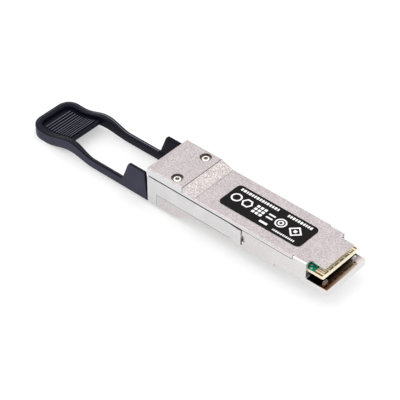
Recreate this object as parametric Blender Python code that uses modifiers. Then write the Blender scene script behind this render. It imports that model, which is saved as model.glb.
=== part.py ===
"""Pluggable loopback transceiver module with a sprung pull-tab latch.

A two-part die-cast case holds a circuit board whose front edge is a plug card. A stamped latch
slider wraps under the head of the case and runs back along both sides; the pull tab moulded on
its legs draws it out against two coil springs.

Frame: +X is the direction in which the module is plugged in, +Y its left side, +Z its top.
Sizes are metres. Places along X are measured from the front face of the head, places along Z
from the underside of the body, and the empty "module" shifts them so that the origin lies at
the centre of the bottom of the whole module.
"""

import math

import bmesh
import bpy
from mathutils import Matrix, Vector

# Case: the body that enters the cage, and the taller head that stays outside it.
BODY_WIDTH = 0.01835
BODY_HEIGHT = 0.0085
HEAD_TOP_STEP = 0.0017
HEAD_DEPTH_BELOW = 0.0033
HEAD_TOP_LENGTH = 0.0143
HEAD_SLOPE_LENGTH = 0.0048
HEAD_BOTTOM_LENGTH = 0.0100
HEAD_RAMP_LENGTH = 0.0090
HEAD_PANEL_DEPTH = 0.0004
HEAD_PANEL_MARGIN = 0.0035
SEAM_HEIGHT = 0.0072
SEAM_GAP = 0.0002
HOUSING_EDGE_ROUND = 0.00018
COVER_EDGE_ROUND = 0.00024
FIT_GAP = 0.0001

# Mouth end: side walls, thin tongue above the card, jaw below it.
WALL_END = 0.0626
TONGUE_LENGTH = 0.0052
TONGUE_SIDE_STEP = 0.002425
TONGUE_THICKNESS = 0.0006
JAW_LENGTH = 0.0079
JAW_TOP = 0.0029
JAW_FOOT_LENGTH = 0.0038
JAW_FOOT_BOTTOM = 0.0004
UNDER_RECESS_SETBACK = 0.0120
UNDER_RECESS_DEPTH = 0.0014
SHOULDER_LENGTH = 0.0052
MOUTH_WALL = 0.0008
LUG_SIZE = (0.0006, 0.0018, 0.0007)
LUG_SETBACK = 0.0026

# Walls and hollows inside the case.
COVER_PLATE = 0.0008
COVER_SKIRT = 0.0013
CAVITY_WALL = 0.0020
CAVITY_FLOOR = 0.0015
LEDGE_WIDTH = 0.0010
LEDGE_BELOW_BOARD = 0.0001
CLAMP_PAD_LENGTH = 0.0020
CLAMP_PAD_WIDTH = 0.0009

# Circuit board: a narrow rear part between the latch channels, and the full-width plug card.
BOARD_THICKNESS = 0.0010
BOARD_BELOW_SEAM = 0.0009
BOARD_END_GAP = 0.0007
CARD_STEP_WALL = 0.0030
CARD_REACH = 0.0058
CARD_SIDE_GAP = 0.000165
CARD_CHAMFER_LENGTH = 0.0005
CARD_CHAMFER_DEPTH = 0.00025
CHANNEL_WALL = 0.0012

# Latch slider: stamped sheet, flush in a channel on each side of the case.
SHEET = 0.0006
CHANNEL_BOTTOM = 0.0013
YOKE_LENGTH = 0.0036
ARM_END = 0.0379
FLARE_START = 0.0330
FLARE_OUT = 0.0004
FLARE_NOSE = 0.0007
CHANNEL_END = 0.0383
POCKET_END = 0.0394
POCKET_BOTTOM = 0.0029
POCKET_TOP = 0.00515
LEG_LENGTH = 0.0080
LEG_BOTTOM = -0.0029
LEG_TOP = -0.0009
LEG_INSET = 0.0007
CHANNEL_GAP = 0.0001
JOIN_STEP = 0.00003  # step between faces that would otherwise lie in one plane when joined or cut

# Return springs, one in a pocket behind each arm.
SPRING_SEAT = 0.0128
SPRING_LENGTH = 0.0085
SPRING_DIAMETER = 0.0016
SPRING_WIRE = 0.00022
SPRING_TURNS = 9
SPRING_HEIGHT = 0.0044
SPRING_CLEAR = 0.0002
POCKET_RUNOUT = 0.0006

# Cover screws.
SCREW_PLACE = 0.0101
SCREW_EDGE = 0.002675
SCREW_HEAD_DIAMETER = 0.0027
SCREW_HEAD_HEIGHT = 0.0010
SCREW_HEAD_SINK = 0.0004
SCREW_SHANK_DIAMETER = 0.0016
SCREW_SHANK_LENGTH = 0.0052
SCREW_SOCKET = 0.0012
SCREW_SOCKET_DEPTH = 0.0006
SCREW_CHAMFER = 0.0002
COUNTERBORE_DIAMETER = 0.0039
COUNTERBORE_CLEAR = 0.0001
SHANK_CLEAR = 0.0001

# Pull tab: ears on the slider's legs, waved arms, and a ribbed finger pad.
TAB_REACH = 0.0526
TAB_CORNER = 0.0050
TAB_ARM_WIDTH = 0.0016
TAB_RIM_WIDTH = 0.0022
ARM_LOW_END = 0.0240
CREST_PLACE = 0.0338
DIP_PLACE = 0.0455
ARM_LEVEL = -0.0019
CREST_LEVEL = -0.0001
DIP_LEVEL = -0.0025
TIP_LEVEL = -0.0021
ARM_THICKNESS = 0.0030
PAD_THICKNESS = 0.0038
FLOOR_THICKNESS = 0.0014
FLOOR_DROP = 0.0002
FINGER_GAP_END = 0.03565
RIB_COUNT = 11
RIB_FIRST = 0.0373
RIB_PITCH = 0.0011
RIB_WIDTH = 0.0005
RIB_HEIGHT = 0.0005
RIB_MARGIN = 0.0012
EAR_THICKNESS = 0.0009
EAR_REACH = 0.0106
EAR_TOP = 0.00765
EAR_TOP_FRONT = 0.0011
EAR_TOP_START = 0.0064
EAR_CORNER = 0.0022
EAR_NECK = 0.0005
EAR_FRONT = 0.0003

# Label.
LABEL_START = 0.0252
LABEL_LENGTH = 0.0312
LABEL_WIDTH = 0.0104
LABEL_CORNER = 0.0015
LABEL_THICKNESS = 0.00012
LABEL_GAP = 0.00003

# Parts soldered to the board: length along X, width along Y, height; places from its rear end.
CONTROLLER_SIZE = (0.0050, 0.0050, 0.0009)
MEMORY_SIZE = (0.0030, 0.0020, 0.0006)
REGULATOR_SIZE = (0.0030, 0.0028, 0.0009)
RESISTOR_SIZE = (0.0032, 0.0025, 0.0006)
CAPACITOR_SIZE = (0.0010, 0.0005, 0.0005)
BULK_CAPACITOR_SIZE = (0.0020, 0.0012, 0.0010)
SOLDER_HEIGHT = 0.0001
CONTROLLER_PLACE = 0.0083
MEMORY_PLACE = (0.0038, -0.0046)
REGULATOR_PLACE = (0.0038, 0.0042)
BULK_PLACE = (0.0133, 0.0052)
RESISTOR_PLACES = (0.0173, 0.0223)
RESISTOR_SPREAD = 0.0070
CAPACITOR_PLACE = 0.0263
CAPACITOR_PITCH = 0.0016
CAPACITOR_COUNT = 8
THERMAL_PAD_MARGIN = 0.0006

# Conductive foam bars that close the case above and below the board.
GASKET_SETBACK = 0.0078
GASKET_LENGTH = 0.0020

HALF_WIDTH = BODY_WIDTH / 2
HEAD_TOP = BODY_HEIGHT + HEAD_TOP_STEP
SLOPE_END = HEAD_TOP_LENGTH + HEAD_SLOPE_LENGTH
RAMP_END = HEAD_BOTTOM_LENGTH + HEAD_RAMP_LENGTH
HOUSING_TOP = SEAM_HEIGHT - SEAM_GAP / 2
SKIRT_BOTTOM = SEAM_HEIGHT + SEAM_GAP / 2
SHOULDER_START = WALL_END - SHOULDER_LENGTH
UNDER_RECESS_START = WALL_END - UNDER_RECESS_SETBACK
TONGUE_END = WALL_END + TONGUE_LENGTH
JAW_END = WALL_END + JAW_LENGTH
MOUTH_HALF = HALF_WIDTH - MOUTH_WALL
BOARD_TOP = HOUSING_TOP - BOARD_BELOW_SEAM
BOARD_BOTTOM = BOARD_TOP - BOARD_THICKNESS
COVER_CEILING = BODY_HEIGHT - COVER_PLATE
CHANNEL_FLOOR = HALF_WIDTH - SHEET - CHANNEL_GAP
REAR_HALF = CHANNEL_FLOOR - CHANNEL_WALL
TONGUE_HALF = HALF_WIDTH - TONGUE_SIDE_STEP
SCREW_OFFSET = HALF_WIDTH - SCREW_EDGE
SLIDER_TOP = HOUSING_TOP - CHANNEL_GAP
SLIDER_BOTTOM = -HEAD_DEPTH_BELOW
SPRING_END = SPRING_SEAT + SPRING_LENGTH
SPRING_POCKET = SPRING_DIAMETER + 2 * SPRING_CLEAR
POCKET_FRONT = SPRING_END + SHEET + POCKET_RUNOUT
CAVITY_START = POCKET_FRONT + CAVITY_WALL
BOARD_START = CAVITY_START + BOARD_END_GAP
CARD_START = POCKET_END + CARD_STEP_WALL
CARD_END = WALL_END + CARD_REACH
CARD_HALF = MOUTH_HALF - CARD_SIDE_GAP
LOWEST = min(SLIDER_BOTTOM, DIP_LEVEL - PAD_THICKNESS / 2)
OUT = 0.002  # how far a cutter runs past the face that it opens

PARTS = None
CUTTERS = None
MODULE = None
CARRIAGE = None


def clear_scene():
    for leftover in list(bpy.data.objects):
        bpy.data.objects.remove(leftover, do_unlink=True)


def make_collection(name):
    collection = bpy.data.collections.new(name)
    bpy.context.scene.collection.children.link(collection)
    return collection


def make_empty(name, location, parent=None):
    empty = bpy.data.objects.new(name, None)
    empty.location = location
    empty.parent = parent
    empty.empty_display_size = BODY_HEIGHT / 2
    PARTS.objects.link(empty)
    return empty


def material(name, colour, roughness, metallic=0.0):
    """A Principled material, made once and shared by the pieces that use it."""
    found = bpy.data.materials.get(name)
    if found:
        return found
    made = bpy.data.materials.new(name)
    made.use_nodes = True
    shader = made.node_tree.nodes["Principled BSDF"]
    shader.inputs["Base Color"].default_value = (*colour, 1.0)
    shader.inputs["Roughness"].default_value = roughness
    shader.inputs["Metallic"].default_value = metallic
    return made


def add(name, mesh, surface=None, location=(0.0, 0.0, 0.0), parent=None):
    """Links a mesh as a part if it has a material, and as a hidden cutter if it has none."""
    piece = bpy.data.objects.new(name, mesh)
    piece.parent = parent or MODULE
    piece.location = Vector(location) - (CARRIAGE.location if parent is CARRIAGE else Vector())
    if surface:
        mesh.materials.append(surface)
        PARTS.objects.link(piece)
    else:
        piece.hide_render = True
        piece.display_type = "WIRE"
        CUTTERS.objects.link(piece)
    return piece


def box(name, low, high, surface=None, parent=None):
    """A cuboid between two opposite corners, with its origin at its centre."""
    low, high = Vector(low), Vector(high)
    mesh = bpy.data.meshes.new(name)
    shape = bmesh.new()
    bmesh.ops.create_cube(shape, size=1.0)
    bmesh.ops.scale(shape, vec=high - low, verts=shape.verts)
    shape.to_mesh(mesh)
    shape.free()
    return add(name, mesh, surface, (low + high) / 2, parent)


def cylinder(name, centre, radius, bottom, top, sides=32, surface=None):
    """An upright cylinder at centre (x, y), from bottom to top."""
    mesh = bpy.data.meshes.new(name)
    shape = bmesh.new()
    bmesh.ops.create_cone(
        shape, cap_ends=True, segments=sides, radius1=radius, radius2=radius, depth=top - bottom
    )
    shape.to_mesh(mesh)
    shape.free()
    return add(name, mesh, surface, (*centre, (top + bottom) / 2))


# Which axis each of an outline's two directions and its thickness lie along.
PLANES = {
    "XY": Matrix.Identity(4),
    "XZ": Matrix.Rotation(math.radians(90), 4, "X"),
    "YZ": Matrix(((0, 0, 1, 0), (1, 0, 0, 0), (0, 1, 0, 0), (0, 0, 0, 1))),
}


def mesh_from_curve(name, curve, turn=Matrix.Identity(4), flat=False):
    """The closed mesh of a curve, with its caps welded on and the curve removed."""
    guide = bpy.data.objects.new(name, curve)
    CUTTERS.objects.link(guide)
    graph = bpy.context.evaluated_depsgraph_get()
    mesh = bpy.data.meshes.new_from_object(guide.evaluated_get(graph))
    bpy.data.objects.remove(guide, do_unlink=True)
    bpy.data.curves.remove(curve)
    shape = bmesh.new()
    shape.from_mesh(mesh)
    bmesh.ops.transform(shape, matrix=turn, verts=shape.verts)
    bmesh.ops.remove_doubles(shape, verts=shape.verts, dist=1e-6)
    if flat:
        bmesh.ops.dissolve_limit(
            shape, angle_limit=math.radians(0.1), verts=shape.verts, edges=shape.edges
        )
    bmesh.ops.recalc_face_normals(shape, faces=shape.faces)
    shape.to_mesh(mesh)
    shape.free()
    mesh.name = name
    return mesh


def slab(name, outline, plane, low, high, surface=None, parent=None):
    """A flat outline in a plane, as thick as the span from low to high along the third axis."""
    curve = bpy.data.curves.new(name, "CURVE")
    curve.dimensions = "2D"
    curve.fill_mode = "BOTH"
    curve.extrude = (high - low) / 2
    spline = curve.splines.new("POLY")
    spline.points.add(len(outline) - 1)
    for point, (first, second) in zip(spline.points, outline):
        point.co = (first, second, 0.0, 1.0)
    spline.use_cyclic_u = True
    mesh = mesh_from_curve(name, curve, PLANES[plane], flat=True)
    middle = (low + high) / 2
    places = {"XY": (0, 0, middle), "XZ": (0, middle, 0), "YZ": (middle, 0, 0)}
    return add(name, mesh, surface, places[plane], parent)


def boolean(piece, operation, others):
    for other in others:
        modifier = piece.modifiers.new(other.name, "BOOLEAN")
        modifier.operation = operation
        modifier.object = other
    return piece


def cut(piece, *others):
    return boolean(piece, "DIFFERENCE", others)


def join(piece, *others):
    return boolean(piece, "UNION", others)


def round_edges(piece, width, angle=40.0):
    """Rounds the sharp edges of a piece before anything is cut from it."""
    modifier = piece.modifiers.new("Rounded edges", "BEVEL")
    modifier.width = width
    modifier.segments = 2
    modifier.limit_method = "ANGLE"
    modifier.angle_limit = math.radians(angle)
    return piece


def smooth(piece, angle=35.0):
    piece.data.shade_smooth()
    piece.data.set_sharp_from_angle(angle=math.radians(angle))
    return piece


def arc(centre, radius, start, end, steps):
    """Points on an arc, angles in degrees."""
    points = []
    for step in range(steps + 1):
        angle = math.radians(start + (end - start) * step / steps)
        points.append((centre[0] + radius * math.cos(angle), centre[1] + radius * math.sin(angle)))
    return points


def eased(place, start, end, from_value, to_value):
    """A smooth step between two values as place runs from start to end."""
    share = min(max((place - start) / (end - start), 0.0), 1.0)
    return from_value + (to_value - from_value) * (1 - math.cos(math.pi * share)) / 2


def both_sides(make):
    """Runs make(side, word) for the left side, +1, and for the right side, -1."""
    return [make(side, word) for side, word in ((1, "left"), (-1, "right"))]


def across(side, inner, outer):
    """The span between two distances from the middle plane, on one side of it."""
    return min(side * inner, side * outer), max(side * inner, side * outer)


def ramp_points(steps=6):
    """The underside's soft ramp from the head's bottom up to the body's."""
    points = []
    for step in range(steps + 1):
        place = HEAD_BOTTOM_LENGTH + HEAD_RAMP_LENGTH * step / steps
        points.append((place, eased(place, HEAD_BOTTOM_LENGTH, RAMP_END, -HEAD_DEPTH_BELOW, 0.0)))
    return points


def bottom_housing():
    """Lower half of the case: head block, side walls, jaw, latch channels and board ledges."""
    outline = [(0.0, -HEAD_DEPTH_BELOW)]
    outline += ramp_points()
    outline += [
        (UNDER_RECESS_START, 0.0),
        (UNDER_RECESS_START, UNDER_RECESS_DEPTH),
        (JAW_END - JAW_FOOT_LENGTH, UNDER_RECESS_DEPTH),
        (JAW_END - JAW_FOOT_LENGTH, JAW_FOOT_BOTTOM),
        (JAW_END, JAW_FOOT_BOTTOM),
        (JAW_END, JAW_TOP),
        (WALL_END, JAW_TOP),
        (WALL_END, BODY_HEIGHT),
        (SHOULDER_START, BODY_HEIGHT),
        (SHOULDER_START, HOUSING_TOP),
        (0.0, HOUSING_TOP),
    ]
    metal = material("cast_lower", (0.66, 0.63, 0.64), 0.38, 1.0)
    housing = slab("bottom_housing", outline, "XZ", -HALF_WIDTH, HALF_WIDTH, metal)
    round_edges(housing, HOUSING_EDGE_ROUND)

    top = BODY_HEIGHT + OUT
    ledge = BOARD_BOTTOM - LEDGE_BELOW_BOARD
    low_half = REAR_HALF - LEDGE_WIDTH
    card_half = MOUTH_HALF - LEDGE_WIDTH
    card_start = CARD_START - FIT_GAP
    deep_end = UNDER_RECESS_START - CAVITY_FLOOR
    cut(
        housing,
        box("hollow_rear", (CAVITY_START, -low_half, CAVITY_FLOOR), (deep_end, low_half, ledge + OUT)),
        box(
            "hollow_card",
            (card_start, -card_half, JAW_TOP + JOIN_STEP),
            (WALL_END + OUT, card_half, ledge + OUT),
        ),
        box("board_seat_rear", (CAVITY_START, -REAR_HALF, ledge), (card_start + OUT, REAR_HALF, top)),
        box("board_seat_card", (card_start, -MOUTH_HALF, ledge), (WALL_END + OUT, MOUTH_HALF, top)),
        box(
            "head_panel",
            (-OUT, -HALF_WIDTH + HEAD_PANEL_MARGIN, -HEAD_DEPTH_BELOW + HEAD_PANEL_MARGIN / 2),
            (HEAD_PANEL_DEPTH, HALF_WIDTH - HEAD_PANEL_MARGIN, HOUSING_TOP - HEAD_PANEL_MARGIN / 2),
        ),
        box(
            "strap_relief",
            (-OUT, -HALF_WIDTH - OUT, SLIDER_BOTTOM - OUT),
            (YOKE_LENGTH + CHANNEL_GAP, HALF_WIDTH + OUT, SLIDER_BOTTOM + SHEET + CHANNEL_GAP),
        ),
    )

    def side_cuts(side, word):
        outer = HALF_WIDTH + OUT
        channel = across(side, CHANNEL_FLOOR, outer)
        pocket = across(side, HALF_WIDTH - SHEET - SPRING_POCKET, outer)
        relief = across(side, leg_inner() - CHANNEL_GAP, outer)
        low, high = channel
        cut(
            housing,
            box(
                f"yoke_relief_{word}",
                (-OUT, low, SLIDER_BOTTOM - OUT),
                (YOKE_LENGTH + CHANNEL_GAP, high, HOUSING_TOP + OUT),
            ),
            box(
                f"joggle_relief_{word}",
                (-OUT, relief[0], LEG_BOTTOM - CHANNEL_GAP),
                (SHEET + CHANNEL_GAP, relief[1], LEG_TOP + CHANNEL_GAP),
            ),
            box(
                f"arm_channel_{word}",
                (YOKE_LENGTH, low, CHANNEL_BOTTOM),
                (CHANNEL_END, high, HOUSING_TOP + OUT),
            ),
            box(f"cage_pocket_{word}", (FLARE_START, low, POCKET_BOTTOM), (POCKET_END, high, POCKET_TOP)),
            box(
                f"spring_pocket_{word}",
                (SPRING_SEAT, pocket[0], SPRING_HEIGHT - SPRING_POCKET / 2),
                (POCKET_FRONT, pocket[1], SPRING_HEIGHT + SPRING_POCKET / 2),
            ),
            cylinder(
                f"screw_hole_{word}",
                (SCREW_PLACE, side * SCREW_OFFSET),
                SCREW_SHANK_DIAMETER / 2 + SHANK_CLEAR,
                screw_tip() - SCREW_CHAMFER,
                HOUSING_TOP + OUT,
                16,
            ),
        )

    both_sides(side_cuts)

    def lug(side, word):
        length, width, height = LUG_SIZE
        place = JAW_END - LUG_SETBACK
        low, high = across(side, TONGUE_HALF - width / 2, TONGUE_HALF + width / 2)
        return box(
            f"jaw_lug_{word}",
            (place - length / 2, low, JAW_TOP - OUT / 2),
            (place + length / 2, high, JAW_TOP + height),
        )

    join(housing, *both_sides(lug))
    return housing


def screw_seat():
    """Height of the face that carries a screw head."""
    return HEAD_TOP - SCREW_HEAD_SINK - SCREW_HEAD_HEIGHT - COUNTERBORE_CLEAR


def screw_tip():
    return screw_seat() + COUNTERBORE_CLEAR - SCREW_SHANK_LENGTH


def top_cover():
    """Upper half of the case: plate, skirts, raised head with screw seats, and the tongue."""
    outline = [
        (0.0, SKIRT_BOTTOM),
        (WALL_END, SKIRT_BOTTOM),
        (WALL_END, BODY_HEIGHT - TONGUE_THICKNESS),
        (TONGUE_END, BODY_HEIGHT - TONGUE_THICKNESS),
        (TONGUE_END, BODY_HEIGHT),
        (SLOPE_END, BODY_HEIGHT),
        (HEAD_TOP_LENGTH, HEAD_TOP),
        (0.0, HEAD_TOP),
    ]
    metal = material("cast_upper", (0.62, 0.58, 0.59), 0.45, 1.0)
    cover = slab("top_cover", outline, "XZ", -HALF_WIDTH, HALF_WIDTH, metal)
    round_edges(cover, COVER_EDGE_ROUND)

    inner = HALF_WIDTH - COVER_SKIRT
    below = SKIRT_BOTTOM - OUT
    cut(cover, box("cover_hollow", (CAVITY_START, -inner, below), (WALL_END + OUT, inner, COVER_CEILING)))

    def edge_cuts(side, word):
        shoulder = across(side, MOUTH_HALF - FIT_GAP, HALF_WIDTH + OUT)
        tongue = across(side, TONGUE_HALF, HALF_WIDTH + OUT)
        cut(
            cover,
            box(
                f"shoulder_notch_{word}",
                (SHOULDER_START - FIT_GAP, shoulder[0], below),
                (TONGUE_END + OUT, shoulder[1], BODY_HEIGHT + OUT),
            ),
            box(
                f"tongue_side_{word}",
                (WALL_END - FIT_GAP, tongue[0], below),
                (TONGUE_END + OUT, tongue[1], BODY_HEIGHT + OUT),
            ),
        )

    def screw_cuts(side, word):
        place = (SCREW_PLACE, side * SCREW_OFFSET)
        shank = SCREW_SHANK_DIAMETER / 2 + SHANK_CLEAR
        bore = COUNTERBORE_DIAMETER / 2
        cut(
            cover,
            cylinder(f"counterbore_{word}", place, bore, screw_seat(), HEAD_TOP + OUT),
            cylinder(f"shank_hole_{word}", place, shank, below, screw_seat() + OUT / 2, 16),
        )

    both_sides(edge_cuts)
    both_sides(screw_cuts)

    def clamp_pad(side, word, place, name):
        low, high = across(side, inner - CLAMP_PAD_WIDTH, inner + FIT_GAP)
        return box(
            f"clamp_pad_{name}_{word}",
            (place, low, BOARD_TOP + FIT_GAP),
            (place + CLAMP_PAD_LENGTH, high, COVER_CEILING + FIT_GAP),
        )

    for name, place in (("rear", CARD_START + CLAMP_PAD_LENGTH / 2), ("front", SHOULDER_START)):
        join(cover, *both_sides(lambda side, word: clamp_pad(side, word, place, name)))
    return cover


def cover_screws():
    """Two pan-head machine screws that hold the cover's head end to the housing."""
    steel = material("screw_steel", (0.72, 0.70, 0.66), 0.28, 1.0)
    seat = screw_seat() + COUNTERBORE_CLEAR
    head, shank = SCREW_HEAD_DIAMETER / 2, SCREW_SHANK_DIAMETER / 2
    profile = [
        (0.0, SCREW_HEAD_HEIGHT),
        (head - SCREW_CHAMFER, SCREW_HEAD_HEIGHT),
        (head, SCREW_HEAD_HEIGHT - SCREW_CHAMFER),
        (head, 0.0),
        (shank, 0.0),
        (shank, SCREW_CHAMFER - SCREW_SHANK_LENGTH),
        (shank - SCREW_CHAMFER, -SCREW_SHANK_LENGTH),
        (0.0, -SCREW_SHANK_LENGTH),
    ]

    def screw(side, word):
        name = f"cover_screw_{word}"
        place = (SCREW_PLACE, side * SCREW_OFFSET)
        mesh = bpy.data.meshes.new(name)
        mesh.from_pydata(
            [(radius, 0.0, height) for radius, height in profile],
            [(step, step + 1) for step in range(len(profile) - 1)],
            [],
        )
        piece = add(name, mesh, steel, (*place, seat))
        turn = piece.modifiers.new("Turned", "SCREW")
        turn.axis = "Z"
        turn.angle = math.tau
        turn.steps = 24
        turn.render_steps = 24
        turn.use_merge_vertices = True
        turn.merge_threshold = 1e-6
        top = seat + SCREW_HEAD_HEIGHT
        socket = cylinder(
            f"screw_socket_{word}", place, SCREW_SOCKET / 2, top - SCREW_SOCKET_DEPTH, top + OUT, 6
        )
        return cut(piece, socket)

    return both_sides(screw)


def leg_inner():
    """Distance from the middle plane to the inner face of a leg."""
    return HALF_WIDTH - LEG_INSET - SHEET


def latch_slider():
    """Stamped yoke: strap under the head, a flush arm and a leg on each side, flared tips."""
    steel = material("latch_steel", (0.74, 0.72, 0.73), 0.30, 1.0)
    inner, outer = HALF_WIDTH - SHEET, HALF_WIDTH
    strap_top = SLIDER_BOTTOM + SHEET
    section = [
        (-outer, SLIDER_TOP),
        (-outer, SLIDER_BOTTOM),
        (outer, SLIDER_BOTTOM),
        (outer, SLIDER_TOP),
        (inner, SLIDER_TOP),
        (inner, strap_top),
        (-inner, strap_top),
        (-inner, SLIDER_TOP),
    ]
    slider = slab("latch_slider", section, "YZ", 0.0, YOKE_LENGTH, steel, CARRIAGE)

    def side_pieces(side, word):
        skin = JOIN_STEP
        nose = ARM_END - FLARE_NOSE
        plan = [
            (YOKE_LENGTH - SHEET, side * (inner + skin)),
            (FLARE_START, side * (inner + skin)),
            (nose, side * (inner + FLARE_OUT)),
            (ARM_END, side * (inner + FLARE_OUT / 2)),
            (ARM_END, side * (outer + FLARE_OUT / 2)),
            (nose, side * (outer + FLARE_OUT)),
            (FLARE_START, side * (outer - skin)),
            (YOKE_LENGTH - SHEET, side * (outer - skin)),
        ]
        arm_bottom = CHANNEL_BOTTOM + CHANNEL_GAP
        tab = across(side, outer - SHEET - SPRING_POCKET + CHANNEL_GAP, inner + SHEET / 2)
        tab_half = SPRING_POCKET / 2 - CHANNEL_GAP
        leg = across(side, leg_inner(), leg_inner() + SHEET)
        joggle = across(side, leg_inner() + skin, inner + SHEET / 2)
        join(
            slider,
            slab(f"arm_{word}", plan, "XY", arm_bottom, SLIDER_TOP - skin),
            box(
                f"spring_tab_{word}",
                (SPRING_END, tab[0], SPRING_HEIGHT - tab_half),
                (SPRING_END + SHEET, tab[1], SPRING_HEIGHT + tab_half),
            ),
            box(
                f"leg_joggle_{word}",
                (skin, joggle[0], LEG_BOTTOM),
                (SHEET, joggle[1], LEG_TOP),
            ),
            box(
                f"leg_{word}",
                (-LEG_LENGTH, leg[0], LEG_BOTTOM + skin),
                (SHEET / 2, leg[1], LEG_TOP - skin),
            ),
        )

    both_sides(side_pieces)
    return slider


def wave_level(reach):
    """Height of the pull tab's middle line at a distance in front of the head."""
    if reach < CREST_PLACE:
        return eased(reach, ARM_LOW_END, CREST_PLACE, ARM_LEVEL, CREST_LEVEL)
    if reach < DIP_PLACE:
        return eased(reach, CREST_PLACE, DIP_PLACE, CREST_LEVEL, DIP_LEVEL)
    return eased(reach, DIP_PLACE, TAB_REACH, DIP_LEVEL, TIP_LEVEL)


def wave_slab(name, start, end, top_of, bottom_of, half_width, steps=26):
    """A waved sheet between two reaches, its top and bottom given as functions of the reach."""
    reaches = [start + (end - start) * step / steps for step in range(steps + 1)]
    outline = [(-reach, bottom_of(reach)) for reach in reaches]
    outline += [(-reach, top_of(reach)) for reach in reversed(reaches)]
    return slab(name, outline, "XZ", -half_width, half_width)


def rim_half(reach):
    return eased(reach, ARM_LOW_END, CREST_PLACE, ARM_THICKNESS, PAD_THICKNESS) / 2


def floor_top(reach):
    return wave_level(reach) - FLOOR_DROP + FLOOR_THICKNESS / 2


def pull_tab():
    """Moulded tab: an ear on each leg of the slider, waved arms, and a ribbed finger pad."""
    plastic = material("tab_plastic", (0.035, 0.033, 0.055), 0.45)
    corner = TAB_CORNER
    reach = TAB_REACH
    half = HALF_WIDTH
    plan = [(-EAR_FRONT, -half), (-EAR_FRONT, half)]
    plan += arc((corner - reach, half - corner), corner, 90, 180, 6)
    plan += arc((corner - reach, corner - half), corner, 180, 270, 6)
    tab = slab("pull_tab", plan, "XY", LOWEST - OUT, EAR_TOP + OUT, plastic, CARRIAGE)

    wave = wave_slab(
        "tab_wave",
        EAR_FRONT,
        reach + OUT,
        lambda place: wave_level(place) + rim_half(place),
        lambda place: wave_level(place) - rim_half(place),
        half + OUT,
        40,
    )
    boolean(tab, "INTERSECT", [wave])

    inner = half - TAB_RIM_WIDTH
    corner_in = corner - TAB_RIM_WIDTH
    pad_end = reach - TAB_RIM_WIDTH
    recess = [(-FINGER_GAP_END, -inner), (-FINGER_GAP_END, inner)]
    recess += arc((corner_in - pad_end, inner - corner_in), corner_in, 90, 180, 4)
    recess += arc((corner_in - pad_end, corner_in - inner), corner_in, 180, 270, 4)
    recess_above = slab("pad_recess", recess, "XY", LOWEST - OUT, EAR_TOP)
    floor = wave_slab(
        "pad_floor",
        FINGER_GAP_END,
        reach - TAB_RIM_WIDTH / 2,
        floor_top,
        lambda place: floor_top(place) - FLOOR_THICKNESS,
        half - TAB_RIM_WIDTH / 2,
        16,
    )
    opening_half = half - TAB_ARM_WIDTH
    finger_gap = box(
        "finger_gap",
        (-FINGER_GAP_END, -opening_half, LOWEST - OUT),
        (OUT, opening_half, EAR_TOP + OUT),
    )
    cut(tab, recess_above, finger_gap)
    join(tab, floor)

    for index in range(RIB_COUNT):
        place = RIB_FIRST + RIB_PITCH * index
        level = floor_top(place)
        rib = box(
            f"grip_rib_{index + 1}",
            (-place - RIB_WIDTH / 2, RIB_MARGIN - inner, level - FLOOR_THICKNESS / 2),
            (-place + RIB_WIDTH / 2, inner - RIB_MARGIN, level + RIB_HEIGHT),
        )
        join(tab, rib)

    arm_bottom = ARM_LEVEL - ARM_THICKNESS / 2
    ear_outline = [
        (-EAR_FRONT, arm_bottom),
        (-EAR_FRONT, EAR_NECK),
        (-EAR_TOP_FRONT, EAR_TOP),
        (-EAR_TOP_START, EAR_TOP),
        *arc((-EAR_TOP_START, EAR_TOP - EAR_CORNER), EAR_CORNER, 105, 156, 4),
        (-EAR_REACH, EAR_NECK),
        (-EAR_REACH, arm_bottom),
    ]

    def ear(side, word):
        low, high = across(side, half - EAR_THICKNESS, half)
        return slab(f"ear_{word}", ear_outline, "XZ", low, high)

    join(tab, *both_sides(ear))

    def leg_socket(side, word):
        low, high = across(side, leg_inner() - FIT_GAP, leg_inner() + SHEET + FIT_GAP)
        return box(
            f"leg_socket_{word}",
            (-LEG_LENGTH - FIT_GAP, low, LEG_BOTTOM - FIT_GAP),
            (OUT, high, LEG_TOP + FIT_GAP),
        )

    cut(tab, *both_sides(leg_socket))
    return tab


def return_springs():
    """Two compression coils between the housing and the slider's tabs."""
    steel = material("spring_steel", (0.55, 0.55, 0.57), 0.30, 1.0)
    radius = (SPRING_DIAMETER - SPRING_WIRE) / 2
    length = SPRING_LENGTH - 2 * FIT_GAP - SPRING_WIRE
    centre = HALF_WIDTH - SHEET - SPRING_POCKET / 2 - CHANNEL_GAP / 2
    points_a_turn = 9
    count = SPRING_TURNS * points_a_turn

    def spring(side, word):
        name = f"return_spring_{word}"
        curve = bpy.data.curves.new(name, "CURVE")
        curve.dimensions = "3D"
        curve.bevel_depth = SPRING_WIRE / 2
        curve.bevel_resolution = 1
        curve.use_fill_caps = True
        spline = curve.splines.new("POLY")
        spline.points.add(count)
        for step, point in enumerate(spline.points):
            angle = math.tau * step / points_a_turn
            along = FIT_GAP + SPRING_WIRE / 2 + length * step / count
            point.co = (along, radius * math.cos(angle), radius * math.sin(angle), 1.0)
        mesh = mesh_from_curve(name, curve)
        return smooth(add(name, mesh, steel, (SPRING_SEAT, side * centre, SPRING_HEIGHT)))

    return both_sides(spring)


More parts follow.
